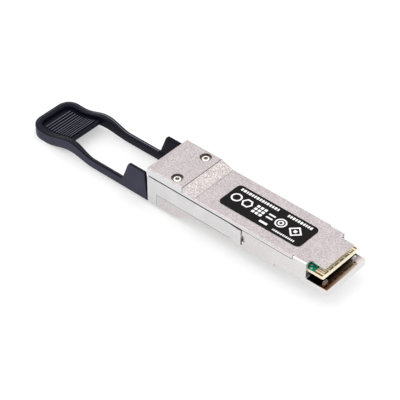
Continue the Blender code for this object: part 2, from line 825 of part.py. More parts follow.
def circuit_board():
    """Board with a narrow rear part and the full-width plug card, its edge chamfered."""
    green = material("board_laminate", (0.01, 0.22, 0.10), 0.45)
    rear, card = REAR_HALF - FIT_GAP, CARD_HALF
    outline = [
        (BOARD_START, -rear),
        (CARD_START, -rear),
        (CARD_START, -card),
        (CARD_END, -card),
        (CARD_END, card),
        (CARD_START, card),
        (CARD_START, rear),
        (BOARD_START, rear),
    ]
    board = slab("circuit_board", outline, "XY", BOARD_BOTTOM, BOARD_TOP, green)

    def chamfer(level, word, inward):
        depth = inward * CARD_CHAMFER_DEPTH
        wedge = [
            (CARD_END - CARD_CHAMFER_LENGTH, level),
            (CARD_END + CARD_CHAMFER_LENGTH, level + 2 * depth),
            (CARD_END + CARD_CHAMFER_LENGTH, level - depth),
            (CARD_END - CARD_CHAMFER_LENGTH, level - depth),
        ]
        return slab(f"card_chamfer_{word}", wedge, "XZ", -card - OUT, card + OUT)

    return cut(board, chamfer(BOARD_BOTTOM, "lower", 1), chamfer(BOARD_TOP, "upper", -1))


def mounted(name, size, place, surface):
    """A part soldered to the board's top."""
    length, width, height = size
    low = BOARD_TOP + SOLDER_HEIGHT
    x, y = BOARD_START + place[0], place[1]
    return box(
        name,
        (x - length / 2, y - width / 2, low),
        (x + length / 2, y + width / 2, low + height),
        surface,
    )


def board_parts():
    """Controller, memory, regulator, load resistors and the capacitors of the looped lanes."""
    package = material("chip_package", (0.03, 0.03, 0.03), 0.5)
    ceramic = material("resistor_ceramic", (0.12, 0.12, 0.14), 0.5)
    capacitor = material("capacitor_ceramic", (0.42, 0.29, 0.18), 0.5)
    mounted("microcontroller", CONTROLLER_SIZE, (CONTROLLER_PLACE, 0.0), package)
    mounted("memory_chip", MEMORY_SIZE, MEMORY_PLACE, package)
    mounted("voltage_regulator", REGULATOR_SIZE, REGULATOR_PLACE, package)
    mounted("bulk_capacitor", BULK_CAPACITOR_SIZE, BULK_PLACE, capacitor)
    count = 0
    for x in RESISTOR_PLACES:
        for side in (1, -1):
            count += 1
            place = (x, side * RESISTOR_SPREAD / 2)
            mounted(f"load_resistor_{count}", RESISTOR_SIZE, place, ceramic)
    for index in range(CAPACITOR_COUNT):
        y = (index - (CAPACITOR_COUNT - 1) / 2) * CAPACITOR_PITCH
        mounted(f"coupling_capacitor_{index + 1}", CAPACITOR_SIZE, (CAPACITOR_PLACE, y), capacitor)


def thermal_pad():
    """Soft pad that carries the load resistors' heat to the cover."""
    silicone = material("pad_silicone", (0.45, 0.50, 0.62), 0.8)
    length, width, height = RESISTOR_SIZE
    half_length = length / 2 + THERMAL_PAD_MARGIN
    half_width = RESISTOR_SPREAD / 2 + width / 2 + THERMAL_PAD_MARGIN
    box(
        "thermal_pad",
        (
            BOARD_START + RESISTOR_PLACES[0] - half_length,
            -half_width,
            BOARD_TOP + SOLDER_HEIGHT + height + FIT_GAP,
        ),
        (BOARD_START + RESISTOR_PLACES[-1] + half_length, half_width, COVER_CEILING - FIT_GAP),
        silicone,
    )


def emi_gaskets():
    """Conductive foam bars across the case, above and below the board."""
    foam = material("gasket_foam", (0.05, 0.05, 0.055), 0.85)
    inner = HALF_WIDTH - COVER_SKIRT - FIT_GAP
    below = MOUTH_HALF - LEDGE_WIDTH - FIT_GAP
    start = WALL_END - GASKET_SETBACK - GASKET_LENGTH / 2
    end = start + GASKET_LENGTH
    box(
        "emi_gasket_upper",
        (start, -inner, BOARD_TOP + FIT_GAP),
        (end, inner, COVER_CEILING - FIT_GAP),
        foam,
    )
    box(
        "emi_gasket_lower",
        (start, -below, JAW_TOP + FIT_GAP),
        (end, below, BOARD_BOTTOM - FIT_GAP),
        foam,
    )


def rating_label():
    """Thin printed label with rounded corners on the cover."""
    film = material("label_film", (0.02, 0.018, 0.02), 0.5)
    start, end, half = LABEL_START, LABEL_START + LABEL_LENGTH, LABEL_WIDTH / 2
    corner = LABEL_CORNER
    outline = arc((end - corner, half - corner), corner, 0, 90, 5)
    outline += arc((start + corner, half - corner), corner, 90, 180, 5)
    outline += arc((start + corner, corner - half), corner, 180, 270, 5)
    outline += arc((end - corner, corner - half), corner, 270, 360, 5)
    low = BODY_HEIGHT + LABEL_GAP
    slab("rating_label", outline, "XY", low, low + LABEL_THICKNESS, film)


clear_scene()
PARTS = make_collection("loopback_transceiver_module")
CUTTERS = make_collection("cutters")
MODULE = make_empty("module", ((TAB_REACH - JAW_END) / 2, 0.0, -LOWEST))
CARRIAGE = make_empty("latch_carriage", (0.0, 0.0, SPRING_HEIGHT), MODULE)
bottom_housing()
top_cover()
cover_screws()
latch_slider()
pull_tab()
return_springs()
circuit_board()
board_parts()
thermal_pad()
emi_gaskets()
rating_label()
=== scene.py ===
"""Looks of the pluggable loopback module, piece by piece in the order in which it is put together."""

import math

import bpy
import numpy as np
from mathutils import Matrix, Vector


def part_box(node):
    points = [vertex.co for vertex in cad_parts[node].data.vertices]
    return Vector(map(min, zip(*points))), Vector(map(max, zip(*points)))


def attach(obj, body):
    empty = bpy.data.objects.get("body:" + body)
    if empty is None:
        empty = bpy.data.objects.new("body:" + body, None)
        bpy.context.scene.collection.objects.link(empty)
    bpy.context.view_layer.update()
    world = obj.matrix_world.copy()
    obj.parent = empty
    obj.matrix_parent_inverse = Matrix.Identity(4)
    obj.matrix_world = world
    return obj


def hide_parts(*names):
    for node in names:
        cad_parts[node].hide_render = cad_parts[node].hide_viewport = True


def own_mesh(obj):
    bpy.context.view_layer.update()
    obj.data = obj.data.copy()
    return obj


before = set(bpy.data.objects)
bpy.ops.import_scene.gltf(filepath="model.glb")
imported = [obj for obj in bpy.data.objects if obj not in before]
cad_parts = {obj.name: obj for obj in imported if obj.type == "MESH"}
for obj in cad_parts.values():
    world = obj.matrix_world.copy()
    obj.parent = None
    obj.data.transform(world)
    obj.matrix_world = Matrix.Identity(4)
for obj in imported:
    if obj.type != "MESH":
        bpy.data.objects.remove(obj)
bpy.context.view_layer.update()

MM = 0.001


# --- Lower casting ------------------------------------------------------------
# The bottom half of the case: zinc die casting, deburred, bead blasted and nickel plated. It carries
# everything else. Its jaw floor under the card is left smooth, so that it mirrors the card, and a
# reflection of the card and the shade under it are painted on it as well.

HEAD_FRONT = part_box("bottom_housing")[0].x
JAW_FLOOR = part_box("bottom_housing")[0].z + 6.2 * MM
JAW_START = HEAD_FRONT + 62.8 * MM
JAW_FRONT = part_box("bottom_housing")[1].x
JAW_GRIND = 0.06 * MM  # depth to which the floor's finish reaches up its walls
JAW_REFLECTION_START, JAW_REFLECTION_END = -8 * MM, 5 * MM  # a painted brown reflection of the card fades across it between these
JAW_SHADE_START, JAW_SHADE_END = JAW_FRONT - 3.4 * MM, JAW_FRONT - 0.6 * MM  # painted shade, black further in than these
JAW_ROUGHNESS = 0.1
RUBBED_START = HEAD_FRONT + 24 * MM  # from here to the plug end the host's cage rubs the plating bright
RUBBED_SHARE = 0.45  # how far the plating has gone towards the rubbed tone at the plug end
BLAST_GRAIN = 0.42 * MM  # glass beads leave dents of about 0.1 mm; drawn larger, so that they show
HANDLING_CLOUD = 7 * MM  # size of the faint patches that handling leaves
DENT_TONE, CLOUD_TONE = 0.72, 0.45  # how much dents and clouds count in the tone
EDGE_WEAR_AND_HIGHLIGHT_REACH = 0.16 * MM
WORN_ROUGHNESS = 0.24


def linear(hex_colour):
    """An sRGB hex colour as linear RGBA: each channel is divided by 12.92, or raised to 2.4 above the toe."""
    channels = np.array([int(hex_colour[i : i + 2], 16) / 255 for i in (1, 3, 5)])
    bent = np.where(channels <= 0.04045, channels / 12.92, ((channels + 0.055) / 1.055) ** 2.4)
    return (*map(float, bent), 1.0)


def add_node(material, kind, settings=None, links=None):
    """Adds one shader node, sets its properties and sockets, links outputs to its sockets, and returns the
    outputs of the new node.
    """
    made = material.node_tree.nodes.new("ShaderNode" + kind)
    for key, value in (settings or {}).items():
        if isinstance(key, str) and hasattr(made, key):
            setattr(made, key, value)
        else:
            made.inputs[key].default_value = value
    for key, output in (links or {}).items():
        material.node_tree.links.new(output, made.inputs[key])
    return made.outputs


def start_material(name, settings):
    """A material, its Principled shader with the even values set on its own sockets, and the place of each
    point in Object coordinates.
    """
    material = bpy.data.materials.new(name)
    material.use_nodes = True
    shader = material.node_tree.nodes["Principled BSDF"]
    for socket, value in settings.items():
        shader.inputs[socket].default_value = value
    return material, shader, add_node(material, "TexCoord")["Object"]


def plug_in(material, shader, links):
    """Links outputs to the sockets of the material's shader."""
    for socket, output in links.items():
        material.node_tree.links.new(output, shader.inputs[socket])


def finish_node(name, material):
    """Gives a CAD node its material."""
    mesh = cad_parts[name].data
    if mesh.materials:
        mesh.materials[0] = material
    else:
        mesh.materials.append(material)


def worn_and_highlit_edges(material, reach, colour, tone):
    """Wear and painted highlight, 1 along sharp edges and 0 on flat faces, and the colour with its paler tone
    there, partly real wear and partly a painted highlight: the mask is how far the normal turns when edges
    are rounded by reach.
    """
    rounded = add_node(material, "Bevel", {"samples": 6, "Radius": reach})["Normal"]
    flat = add_node(material, "NewGeometry")["Normal"]
    turn = add_node(material, "VectorMath", {"operation": "DOT_PRODUCT"}, {0: rounded, 1: flat})["Value"]
    wear_and_highlight_turn = {"From Min": 0.995, "From Max": 0.86}  # cosines of the turns where wear and highlight start and are full
    wear_and_highlight = add_node(material, "MapRange", wear_and_highlight_turn, {"Value": turn})[0]
    bared_and_highlit = {"data_type": "RGBA", 7: linear(tone)}
    return wear_and_highlight, add_node(material, "Mix", bared_and_highlit, {0: wear_and_highlight, 6: colour})[2]


def between(material, value, low, high):
    """1 where a value lies between two limits, else 0."""
    band = {"operation": "COMPARE", 1: (low + high) / 2, 2: (high - low) / 2}
    return add_node(material, "Math", band, {0: value})[0]


def blasted_nickel(name, tone, shade, zones):
    """Bead-blasted nickel plate: an even satin grey of fine dents, brighter and smoother on its edges, partly
    from wear and partly as a painted highlight.

    zones(material, axes, colour, roughness, height) may change the finish in places, and returns
    the three outputs.
    """
    material, shader, place = start_material(name, {"Metallic": 1.0})
    axes = add_node(material, "SeparateXYZ", links={0: place})
    blast = {"Scale": 1 / BLAST_GRAIN, "Detail": 3.0}
    dents = add_node(material, "TexNoise", blast, {"Vector": place})[0]
    handling = {"Scale": 1 / HANDLING_CLOUD, "Detail": 4.0}
    clouds = add_node(material, "TexNoise", handling, {"Vector": place})[0]
    spread = add_node(material, "MapRange", {"From Min": 0.32, "From Max": 0.68}, {"Value": dents})[0]
    grain = add_node(material, "Math", {"operation": "MULTIPLY", 1: DENT_TONE}, {0: spread})[0]
    clouded = {"operation": "MULTIPLY_ADD", 1: CLOUD_TONE}
    share = add_node(material, "Math", clouded, {0: clouds, 2: grain})[0]
    tones = {"data_type": "RGBA", 6: linear(shade), 7: linear(tone)}
    colour = add_node(material, "Mix", tones, {0: share})[2]
    roughness = add_node(material, "MapRange", {"To Min": 0.36, "To Max": 0.48}, {"Value": clouds})[0]
    colour, roughness, height = zones(material, axes, colour, roughness, dents)
    # Edges are brightened, partly as wear and partly as a painted highlight.
    wear_and_highlight, colour = worn_and_highlit_edges(material, EDGE_WEAR_AND_HIGHLIGHT_REACH, colour, "#e2dfdf")
    smoothed = {"data_type": "FLOAT", 3: WORN_ROUGHNESS}
    roughness = add_node(material, "Mix", smoothed, {0: wear_and_highlight, 2: roughness})[0]
    bump = add_node(material, "Bump", {"Strength": 0.22, "Distance": 0.03 * MM}, {"Height": height})[0]
    plug_in(material, shader, {"Base Color": colour, "Roughness": roughness, "Normal": bump})
    return material


def polished_jaw(material, axes, colour, roughness, height):
    """The jaw floor under the card is smooth. It is found by x and z. A painted brown reflection of the card
    lies towards one side, fading along y, and painted shade blackens it further in, fading along x. The plug
    end is rubbed bright.
    """
    beyond = add_node(material, "Math", {"operation": "GREATER_THAN", 1: JAW_START}, {0: axes["X"]})[0]
    level = between(material, axes["Z"], JAW_FLOOR - JAW_GRIND, JAW_FLOOR + JAW_GRIND)
    floor = add_node(material, "Math", {"operation": "MULTIPLY"}, {0: beyond, 1: level})[0]
    # Painted reflection of the gold card: brown towards one side, paler towards the other, fading along y.
    reflection_run = {"From Min": JAW_REFLECTION_START, "From Max": JAW_REFLECTION_END}
    across = add_node(material, "MapRange", reflection_run, {"Value": axes["Y"]})[0]
    reflection_tones = {"data_type": "RGBA", 6: linear("#8a5f42"), 7: linear("#d9ccc8")}
    painted_jaw = add_node(material, "Mix", reflection_tones, {0: across})[2]
    # Painted shade under the card: black further in, fading along x.
    jaw_shade_run = {"From Min": JAW_SHADE_START, "From Max": JAW_SHADE_END}
    outwards = add_node(material, "MapRange", jaw_shade_run, {"Value": axes["X"]})[0]
    jaw_shade_tone = {"data_type": "RGBA", 6: linear("#130d0a")}
    painted_jaw = add_node(material, "Mix", jaw_shade_tone, {0: outwards, 7: painted_jaw})[2]
    rubbed_run = {"From Min": RUBBED_START, "From Max": JAW_FRONT, "To Max": RUBBED_SHARE}
    rubbed_and_highlit = add_node(material, "MapRange", rubbed_run, {"Value": axes["X"]})[0]
    rubbed_and_highlight_tone = {"data_type": "RGBA", 7: linear("#f3f2f4")}
    colour = add_node(material, "Mix", rubbed_and_highlight_tone, {0: rubbed_and_highlit, 6: colour})[2]
    colour = add_node(material, "Mix", {"data_type": "RGBA"}, {0: floor, 6: colour, 7: painted_jaw})[2]
    smooth = {"data_type": "FLOAT", 3: JAW_ROUGHNESS}
    roughness = add_node(material, "Mix", smooth, {0: floor, 2: roughness})[0]
    return colour, roughness, height


# The lower casting gets lighter tones than the cover: painted light on its sides, which face the bright
# floor.
finish_node("bottom_housing", blasted_nickel("blasted_nickel_lower_lit", "#dad6d5", "#bcb7b5", polished_jaw))


# --- Return springs -----------------------------------------------------------
# Two compression springs of stainless spring wire, coiled cold with closed ends. Each sits in a pocket
# of the casting behind an arm of the latch, and shortens when the tab is pulled.

SPRING_WIRE = 0.22 * MM
SPRING_TURNS = 9.0
CLOSED_TURNS = 1.2  # turns that lie close together at each end
CLOSED_PITCH = 0.25  # their pitch as a share of the middle turns' pitch
STEPS_PER_TURN, WIRE_SIDES = 28, 12


def loft(rings, looped=False):
    """A closed mesh from rings[row, column]: each ring closes on itself, neighbouring rings are joined
    by quads, and the two end rings are capped, or joined to each other where the path is looped.
    """
    rows, columns = rings.shape[:2]
    index = np.arange(rows * columns).reshape(rows, columns)
    start, ahead = (index, np.roll(index, -1, 0)) if looped else (index[:-1], index[1:])
    quads = np.stack([start, np.roll(start, -1, 1), np.roll(ahead, -1, 1), ahead], -1).reshape(-1, 4)
    points = rings.reshape(-1, 3)
    corners = points[quads]
    first = np.cross(corners[:, 1] - corners[:, 0], corners[:, 2] - corners[:, 0])
    second = np.cross(corners[:, 2] - corners[:, 0], corners[:, 3] - corners[:, 0])
    outwards = ((first + second) * (corners.mean(1) - points.mean(0))).sum() > 0
    faces = quads.tolist() if outwards else quads[:, ::-1].tolist()
    if not looped:
        ends = [index[0][::-1].tolist(), index[-1].tolist()]
        faces += ends if outwards else [ends[0][::-1], ends[1][::-1]]
    mesh = bpy.data.meshes.new("lofted")
    mesh.from_pydata(points, [], faces)
    mesh.validate()
    return mesh


def place_piece(name, mesh, material, body, replaced=(), sharp=38):
    """Puts a finished mesh in the scene: smooth up to an angle in degrees, riding on its body."""
    mesh.name = name
    piece = bpy.data.objects.new(name, mesh)
    bpy.context.scene.collection.objects.link(piece)
    mesh.materials.append(material)
    mesh.shade_smooth()
    mesh.set_sharp_from_angle(angle=math.radians(sharp))
    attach(piece, body)
    if replaced:
        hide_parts(*replaced)
    return piece


def coil(low, high):
    """A wire carried along a helix: the angle runs evenly, and the advance is slowed at both ends, where
    the turns close. The ring at each step stands across the helix's tangent.
    """
    centre = (np.array(low) + np.array(high)) / 2
    radius = (high.z - low.z) / 2 - SPRING_WIRE / 2
    turns = np.linspace(0, SPRING_TURNS, 1 + int(SPRING_TURNS * STEPS_PER_TURN))
    opened = np.clip(np.minimum(turns, SPRING_TURNS - turns) / CLOSED_TURNS, 0, 1)
    pitch = opened * (1 - CLOSED_PITCH) + CLOSED_PITCH
    advance = np.concatenate([[0], np.cumsum((pitch[1:] + pitch[:-1]) / 2)])
    length = high.x - low.x - SPRING_WIRE
    along = low.x + SPRING_WIRE / 2 + length * advance / advance[-1]
    angle = math.tau * turns
    line = np.stack([along, centre[1] + radius * np.cos(angle), centre[2] + radius * np.sin(angle)], -1)
    tangent = np.gradient(line, axis=0)
    tangent /= np.linalg.norm(tangent, axis=1, keepdims=True)
    outward = np.stack([0 * angle, np.cos(angle), np.sin(angle)], -1)
    side = np.cross(tangent, outward)
    around = np.linspace(0, math.tau, WIRE_SIDES, endpoint=False)[None, :, None]
    ring = np.cos(around) * outward[:, None] + np.sin(around) * side[:, None]
    return loft(line[:, None] + ring * SPRING_WIRE / 2)


def mottle(material, place, grain, detail, dark, light):
    """Noise in patches of the grain's size, and a colour that wanders between two tones with it."""
    patches = add_node(material, "TexNoise", {"Scale": 1 / grain, "Detail": detail}, {"Vector": place})[0]
    tones = {"data_type": "RGBA", 6: linear(dark), 7: linear(light)}
    return patches, add_node(material, "Mix", tones, {0: patches})[2]


def mottled(name, settings, grain, detail, tones, roughness=None):
    """A plain finish whose colour wanders between two tones. Its roughness wanders with it where two
    values are given.
    """
    material, shader, place = start_material(name, settings)
    patches, colour = mottle(material, place, grain, detail, *tones)
    plug_in(material, shader, {"Base Color": colour})
    if roughness:
        spread = {"To Min": roughness[0], "To Max": roughness[1]}
        rough = add_node(material, "MapRange", spread, {"Value": patches})[0]
        plug_in(material, shader, {"Roughness": rough})
    return material


# Drawn spring wire: bright grey, darkened in spots by faint die marks.
wire = mottled(
    "drawn_spring_steel",
    {"Metallic": 1.0},
    grain=0.2 * MM,
    detail=2.0,
    tones=("#a3a3a8", "#d2d2d4"),
    roughness=(0.18, 0.36),
)
for side in ("left", "right"):
    low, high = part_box(f"return_spring_{side}")
    node = f"return_spring_{side}"
    spring = place_piece(f"coil_spring_{side}", coil(low, high), wire, "case", [node])
    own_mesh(spring)


# --- Latch slider -------------------------------------------------------------
# A stamped and bent yoke of 0.6 mm stainless sheet. It wraps under the head, lies flush in a channel
# on each side, and its flared tips push the host's latches apart when the tab is pulled.

ROLLING_LENGTH = 9 * MM
ROLLING_WIDTH = 0.16 * MM
GRAIN_TONE = 0.6  # how much the rolled grain counts in the tone beside the handling's clouds
SHEARED_AND_HIGHLIT_EDGE = 0.1 * MM


def close_surface(material, shader, colour, rough, share, bump, height):
    """Plugs in the colour, a roughness that runs with share, and a bump that follows height."""
    roughness = add_node(material, "MapRange", rough, {"Value": share})[0]
    normal = add_node(material, "Bump", bump, {"Height": height})[0]
    plug_in(material, shader, {"Base Color": colour, "Roughness": roughness, "Normal": normal})
    return material


def rolled_steel():
    """Stainless sheet with a fine rolled grain along X, bright on its sheared edges, partly from the shearing
    and partly as a painted highlight.
    """
    material, shader, place = start_material("rolled_stainless_sheet", {"Metallic": 1.0})
    stretch = {"Scale": (1 / ROLLING_LENGTH, 1 / ROLLING_WIDTH, 1 / ROLLING_WIDTH)}
    drawn_out = add_node(material, "Mapping", stretch, {"Vector": place})[0]
    grain = add_node(material, "TexNoise", {"Scale": 1.0, "Detail": 4.0}, {"Vector": drawn_out})[0]
    handling = {"Scale": 1 / HANDLING_CLOUD, "Detail": 3.0}
    clouds = add_node(material, "TexNoise", handling, {"Vector": place})[0]
    grained = {"operation": "MULTIPLY_ADD", 1: GRAIN_TONE}
    blended = add_node(material, "Math", grained, {0: grain, 2: clouds})[0]
    share = add_node(material, "MapRange", {"From Min": 0.5, "From Max": 1.1}, {"Value": blended})[0]
    tones = {"data_type": "RGBA", 6: linear("#cccbcc"), 7: linear("#dddcdd")}
    colour = add_node(material, "Mix", tones, {0: share})[2]
    # Edges are brightened, partly as sheared edges and partly as a painted highlight.
    wear_and_highlight, colour = worn_and_highlit_edges(material, SHEARED_AND_HIGHLIT_EDGE, colour, "#e6e5e5")
    rough = {"To Min": 0.28, "To Max": 0.42}
    bump = {"Strength": 0.1, "Distance": 0.01 * MM}
    return close_surface(material, shader, colour, rough, share, bump, grain)


finish_node("latch_slider", rolled_steel())


# --- Pull tab: loop and ears --------------------------------------------------
# Moulded dark thermoplastic, shot over the slider's legs. Two ears lie against the head; from them two
# arms rise and dip in one soft wave and run into the rim round the finger pad.

TAB_LOW, TAB_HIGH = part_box("pull_tab")
TAB_HALF = TAB_HIGH.y
TAB_REACH = HEAD_FRONT - TAB_LOW.x
TAB_START = HEAD_FRONT - TAB_HIGH.x
BODY_UNDERSIDE = TAB_LOW.z + 4.4 * MM
TAB_CORNER = 5.0 * MM
ARM_LOW_END, CREST_REACH, DIP_REACH = 24.0 * MM, 33.8 * MM, 45.5 * MM
ARM_LEVEL, CREST_LEVEL, DIP_LEVEL, TIP_LEVEL = -1.9 * MM, -0.1 * MM, -2.5 * MM, -2.1 * MM
ARM_WIDTH, RIM_WIDTH = 1.6 * MM, 2.2 * MM
ARM_THICKNESS, RIM_THICKNESS = 3.0 * MM, 3.8 * MM
TAB_EDGE = 0.42 * MM  # radius of the moulded edges
EDGE_STEPS = 7
FLANGE = 0.85 * MM  # the outer part of the arm, which grows up into the ear
FLANGE_STEP = 0.22 * MM  # how far it stands above the rest of the arm, the fine line along the top
STEP_FADE_START, STEP_FADE_END, STEP_FADE = 36 * MM, 42 * MM, 0.35  # it is lower round the finger pad
STEP_NEAR = 0.25  # within this share of the step's height a point belongs to its face, and gets the painted highlight
STEP_TALLEST = 1.5 * FLANGE_STEP  # beside the ears it stands higher, and gets no painted highlight
LIP = 0.3 * MM  # largest radius of the flange's inner edge
LIP_SHARE, LIP_FOOT = 0.5, 0.4  # that radius as a share of the step, and its fillet's as a share of it
EAR_TOP = TAB_HIGH.z - BODY_UNDERSIDE
EAR_SHOULDER, EAR_FOOT, EAR_FOOT_LEVEL = 6.4 * MM, 10.6 * MM, 0.5 * MM
EAR_CORNER = 2.2 * MM
EAR_CORNER_TURN = math.radians(67)  # how far the edge has turned down where the straight slope begins
EAR_FILLET = 0.9 * MM
EAR_FILLET_LENGTH = 3.4 * MM
EAR_LEAN = 0.8 * MM  # how far the ear's front edge leans back from foot to top
EAR_LEAN_END = 4 * MM
EAR_STEPS_END = 13 * MM
EAR_STEPS, ARM_STEPS, TURN_STEPS, TIP_STEPS = 150, 130, 26, 12
LIT_SIDE_START, LIT_SIDE_DEPTH = 0.3 * MM, 0.05 * MM  # painted light on the outer faces starts here, and reaches this far in
ERODED_GRAIN = 0.3 * MM  # spark erosion leaves pits of about 0.05 mm; drawn larger, so that they show
FLOW_MARK = 8 * MM


def eased(value, start, end, from_value, to_value):
    """A half cosine wave between two values as value runs from start to end."""
    share = np.clip((value - start) / (end - start), 0, 1)
    return from_value + (to_value - from_value) * (1 - np.cos(math.pi * share)) / 2


def tab_level(reach):
    """Height of the tab's middle over the body's underside: low arm, crest, dip, and tip, eased between."""
    rise = eased(reach, ARM_LOW_END, CREST_REACH, ARM_LEVEL, CREST_LEVEL)
    fall = eased(reach, CREST_REACH, DIP_REACH, CREST_LEVEL, DIP_LEVEL)
    end = eased(reach, DIP_REACH, TAB_REACH, DIP_LEVEL, TIP_LEVEL)
    return np.where(reach < CREST_REACH, rise, np.where(reach < DIP_REACH, fall, end))


def ear_height(reach):
    """How far the ear's edge stands above the arm's top: flat, then a round corner of the ear's radius,
    then a straight slope down to the foot, softened by a small fillet into the arm.
    """
    centre = EAR_TOP - EAR_CORNER
    knee = EAR_SHOULDER + EAR_CORNER * math.sin(EAR_CORNER_TURN)
    knee_level = centre + EAR_CORNER * math.cos(EAR_CORNER_TURN)
    past = np.clip(reach, EAR_SHOULDER, knee) - EAR_SHOULDER
    corner = centre + np.sqrt(EAR_CORNER**2 - past**2)
    slope = knee_level + (reach - knee) * (EAR_FOOT_LEVEL - knee_level) / (EAR_FOOT - knee)
    height = np.where(reach < knee, corner, slope) - ARM_LEVEL - ARM_THICKNESS / 2
    end = EAR_FOOT + EAR_FILLET_LENGTH
    return (height + np.sqrt(height**2 + EAR_FILLET**2)) / 2 - eased(reach, 0, end, 0, EAR_FILLET**2 / end)


def corner_arc(start, end, steps=EDGE_STEPS):
    """Cosine and sine of the angles of a rounded corner, in degrees."""
    angles = np.radians(np.linspace(start, end, steps))
    return np.cos(angles), np.sin(angles)


def tab_section(width, thickness, height):
    """The arm's section at every step of the path: a rounded bar with an outer flange raised by height.

    Returns how far inwards from the outer face and how far above the middle each point lies.
    """
    inwards, upwards = [], []
    width, thickness, height = width[:, None], thickness[:, None], height[:, None]
    edge = TAB_EDGE
    lip = np.minimum(LIP, LIP_SHARE * height)

    def corner(centre_in, centre_up, radius, start, end):
        cosine, sine = corner_arc(start, end)
        inwards.append(centre_in + radius * cosine + 0 * height)
        upwards.append(centre_up + radius * sine + 0 * height)

    corner(edge, edge - thickness / 2, edge, 270, 180)
    corner(edge, thickness / 2 + height - edge, edge, 180, 90)
    corner(FLANGE - lip, thickness / 2 + height - lip, lip, 90, 0)
    corner(FLANGE + lip, thickness / 2 + lip * LIP_FOOT, lip * LIP_FOOT, 180, 270)
    corner(width - edge, thickness / 2 - edge, edge, 90, 0)
    corner(width - edge, edge - thickness / 2, edge, 0, -90)
    return np.concatenate(inwards, 1), np.concatenate(upwards, 1)


def tab_path():
    """Points and outward directions along the tab's outer edge in plan: up one arm, round two corners of
    the tab's radius, and back down the other arm, with closer steps beside the ears.
    """
    ear_steps = np.linspace(TAB_START, EAR_STEPS_END, EAR_STEPS)
    arm_steps = np.linspace(EAR_STEPS_END, TAB_REACH - TAB_CORNER, ARM_STEPS)[1:]
    arm = np.concatenate([ear_steps, arm_steps])
    turn = np.radians(np.linspace(0, 90, TURN_STEPS)[1:])
    tip = np.linspace(TAB_CORNER - TAB_HALF, 0, TIP_STEPS)[1:]
    sine, cosine = np.sin(turn), np.cos(turn)
    reach = np.concatenate([arm, TAB_REACH - TAB_CORNER + TAB_CORNER * sine, TAB_REACH + 0 * tip])
    across = np.concatenate([-TAB_HALF + 0 * arm, TAB_CORNER - TAB_HALF - TAB_CORNER * cosine, tip])
    out_reach = np.concatenate([0 * arm, sine, 1 + 0 * tip])
    out_across = np.concatenate([-1 + 0 * arm, -cosine, 0 * tip])
    return (
        np.concatenate([reach, reach[-2::-1]]),
        np.concatenate([across, -across[-2::-1]]),
        np.concatenate([out_reach, out_reach[-2::-1]]),
        np.concatenate([out_across, -out_across[-2::-1]]),
    )


def store(mesh, name, values):
    """Keeps one number per point on a mesh, for its material to read."""
    numbers = np.ascontiguousarray(values, np.float32).ravel()
    mesh.attributes.new(name, "FLOAT", "POINT").data.foreach_set("value", numbers)


def tab_loop():
    """The arm's section carried along the outer edge, each point at the wave's height for its own reach.

    The ears' front edges lean back with height. The outer faces are marked for painted light, and the small
    step along the top for a painted highlight.
    """
    reach, across, out_reach, out_across = tab_path()
    width = eased(reach, ARM_LOW_END, CREST_REACH, ARM_WIDTH, RIM_WIDTH)
    thickness = eased(reach, ARM_LOW_END, CREST_REACH, ARM_THICKNESS, RIM_THICKNESS)
    fade = eased(reach, STEP_FADE_START, STEP_FADE_END, 1.0, STEP_FADE)
    height = np.maximum(ear_height(reach), 0) + FLANGE_STEP * fade
    height = np.minimum(height, EAR_TOP - ARM_LEVEL - ARM_THICKNESS / 2)
    inwards, upwards = tab_section(width, thickness, height)
    place_reach = reach[:, None] - out_reach[:, None] * inwards
    place_across = across[:, None] - out_across[:, None] * inwards
    level = tab_level(place_reach) + upwards
    share = np.clip((level - EAR_FOOT_LEVEL) / (EAR_TOP - EAR_FOOT_LEVEL), 0, 1)
    lean = EAR_LEAN * share * eased(reach, TAB_START, EAR_LEAN_END, 1, 0)[:, None]
    x = HEAD_FRONT - (place_reach + lean)
    mesh = loft(np.stack([x, place_across, BODY_UNDERSIDE + level], -1))
    # Painted light on the outer faces, and a painted highlight on the step along the top.
    store(mesh, "painted_light_side", (inwards < LIT_SIDE_DEPTH) & (reach > TAB_START + LIT_SIDE_START)[:, None])
    step_face = np.abs(inwards - FLANGE) < STEP_NEAR * height[:, None]
    store(mesh, "rubbed_and_highlit", step_face & (height < STEP_TALLEST)[:, None])
    return mesh


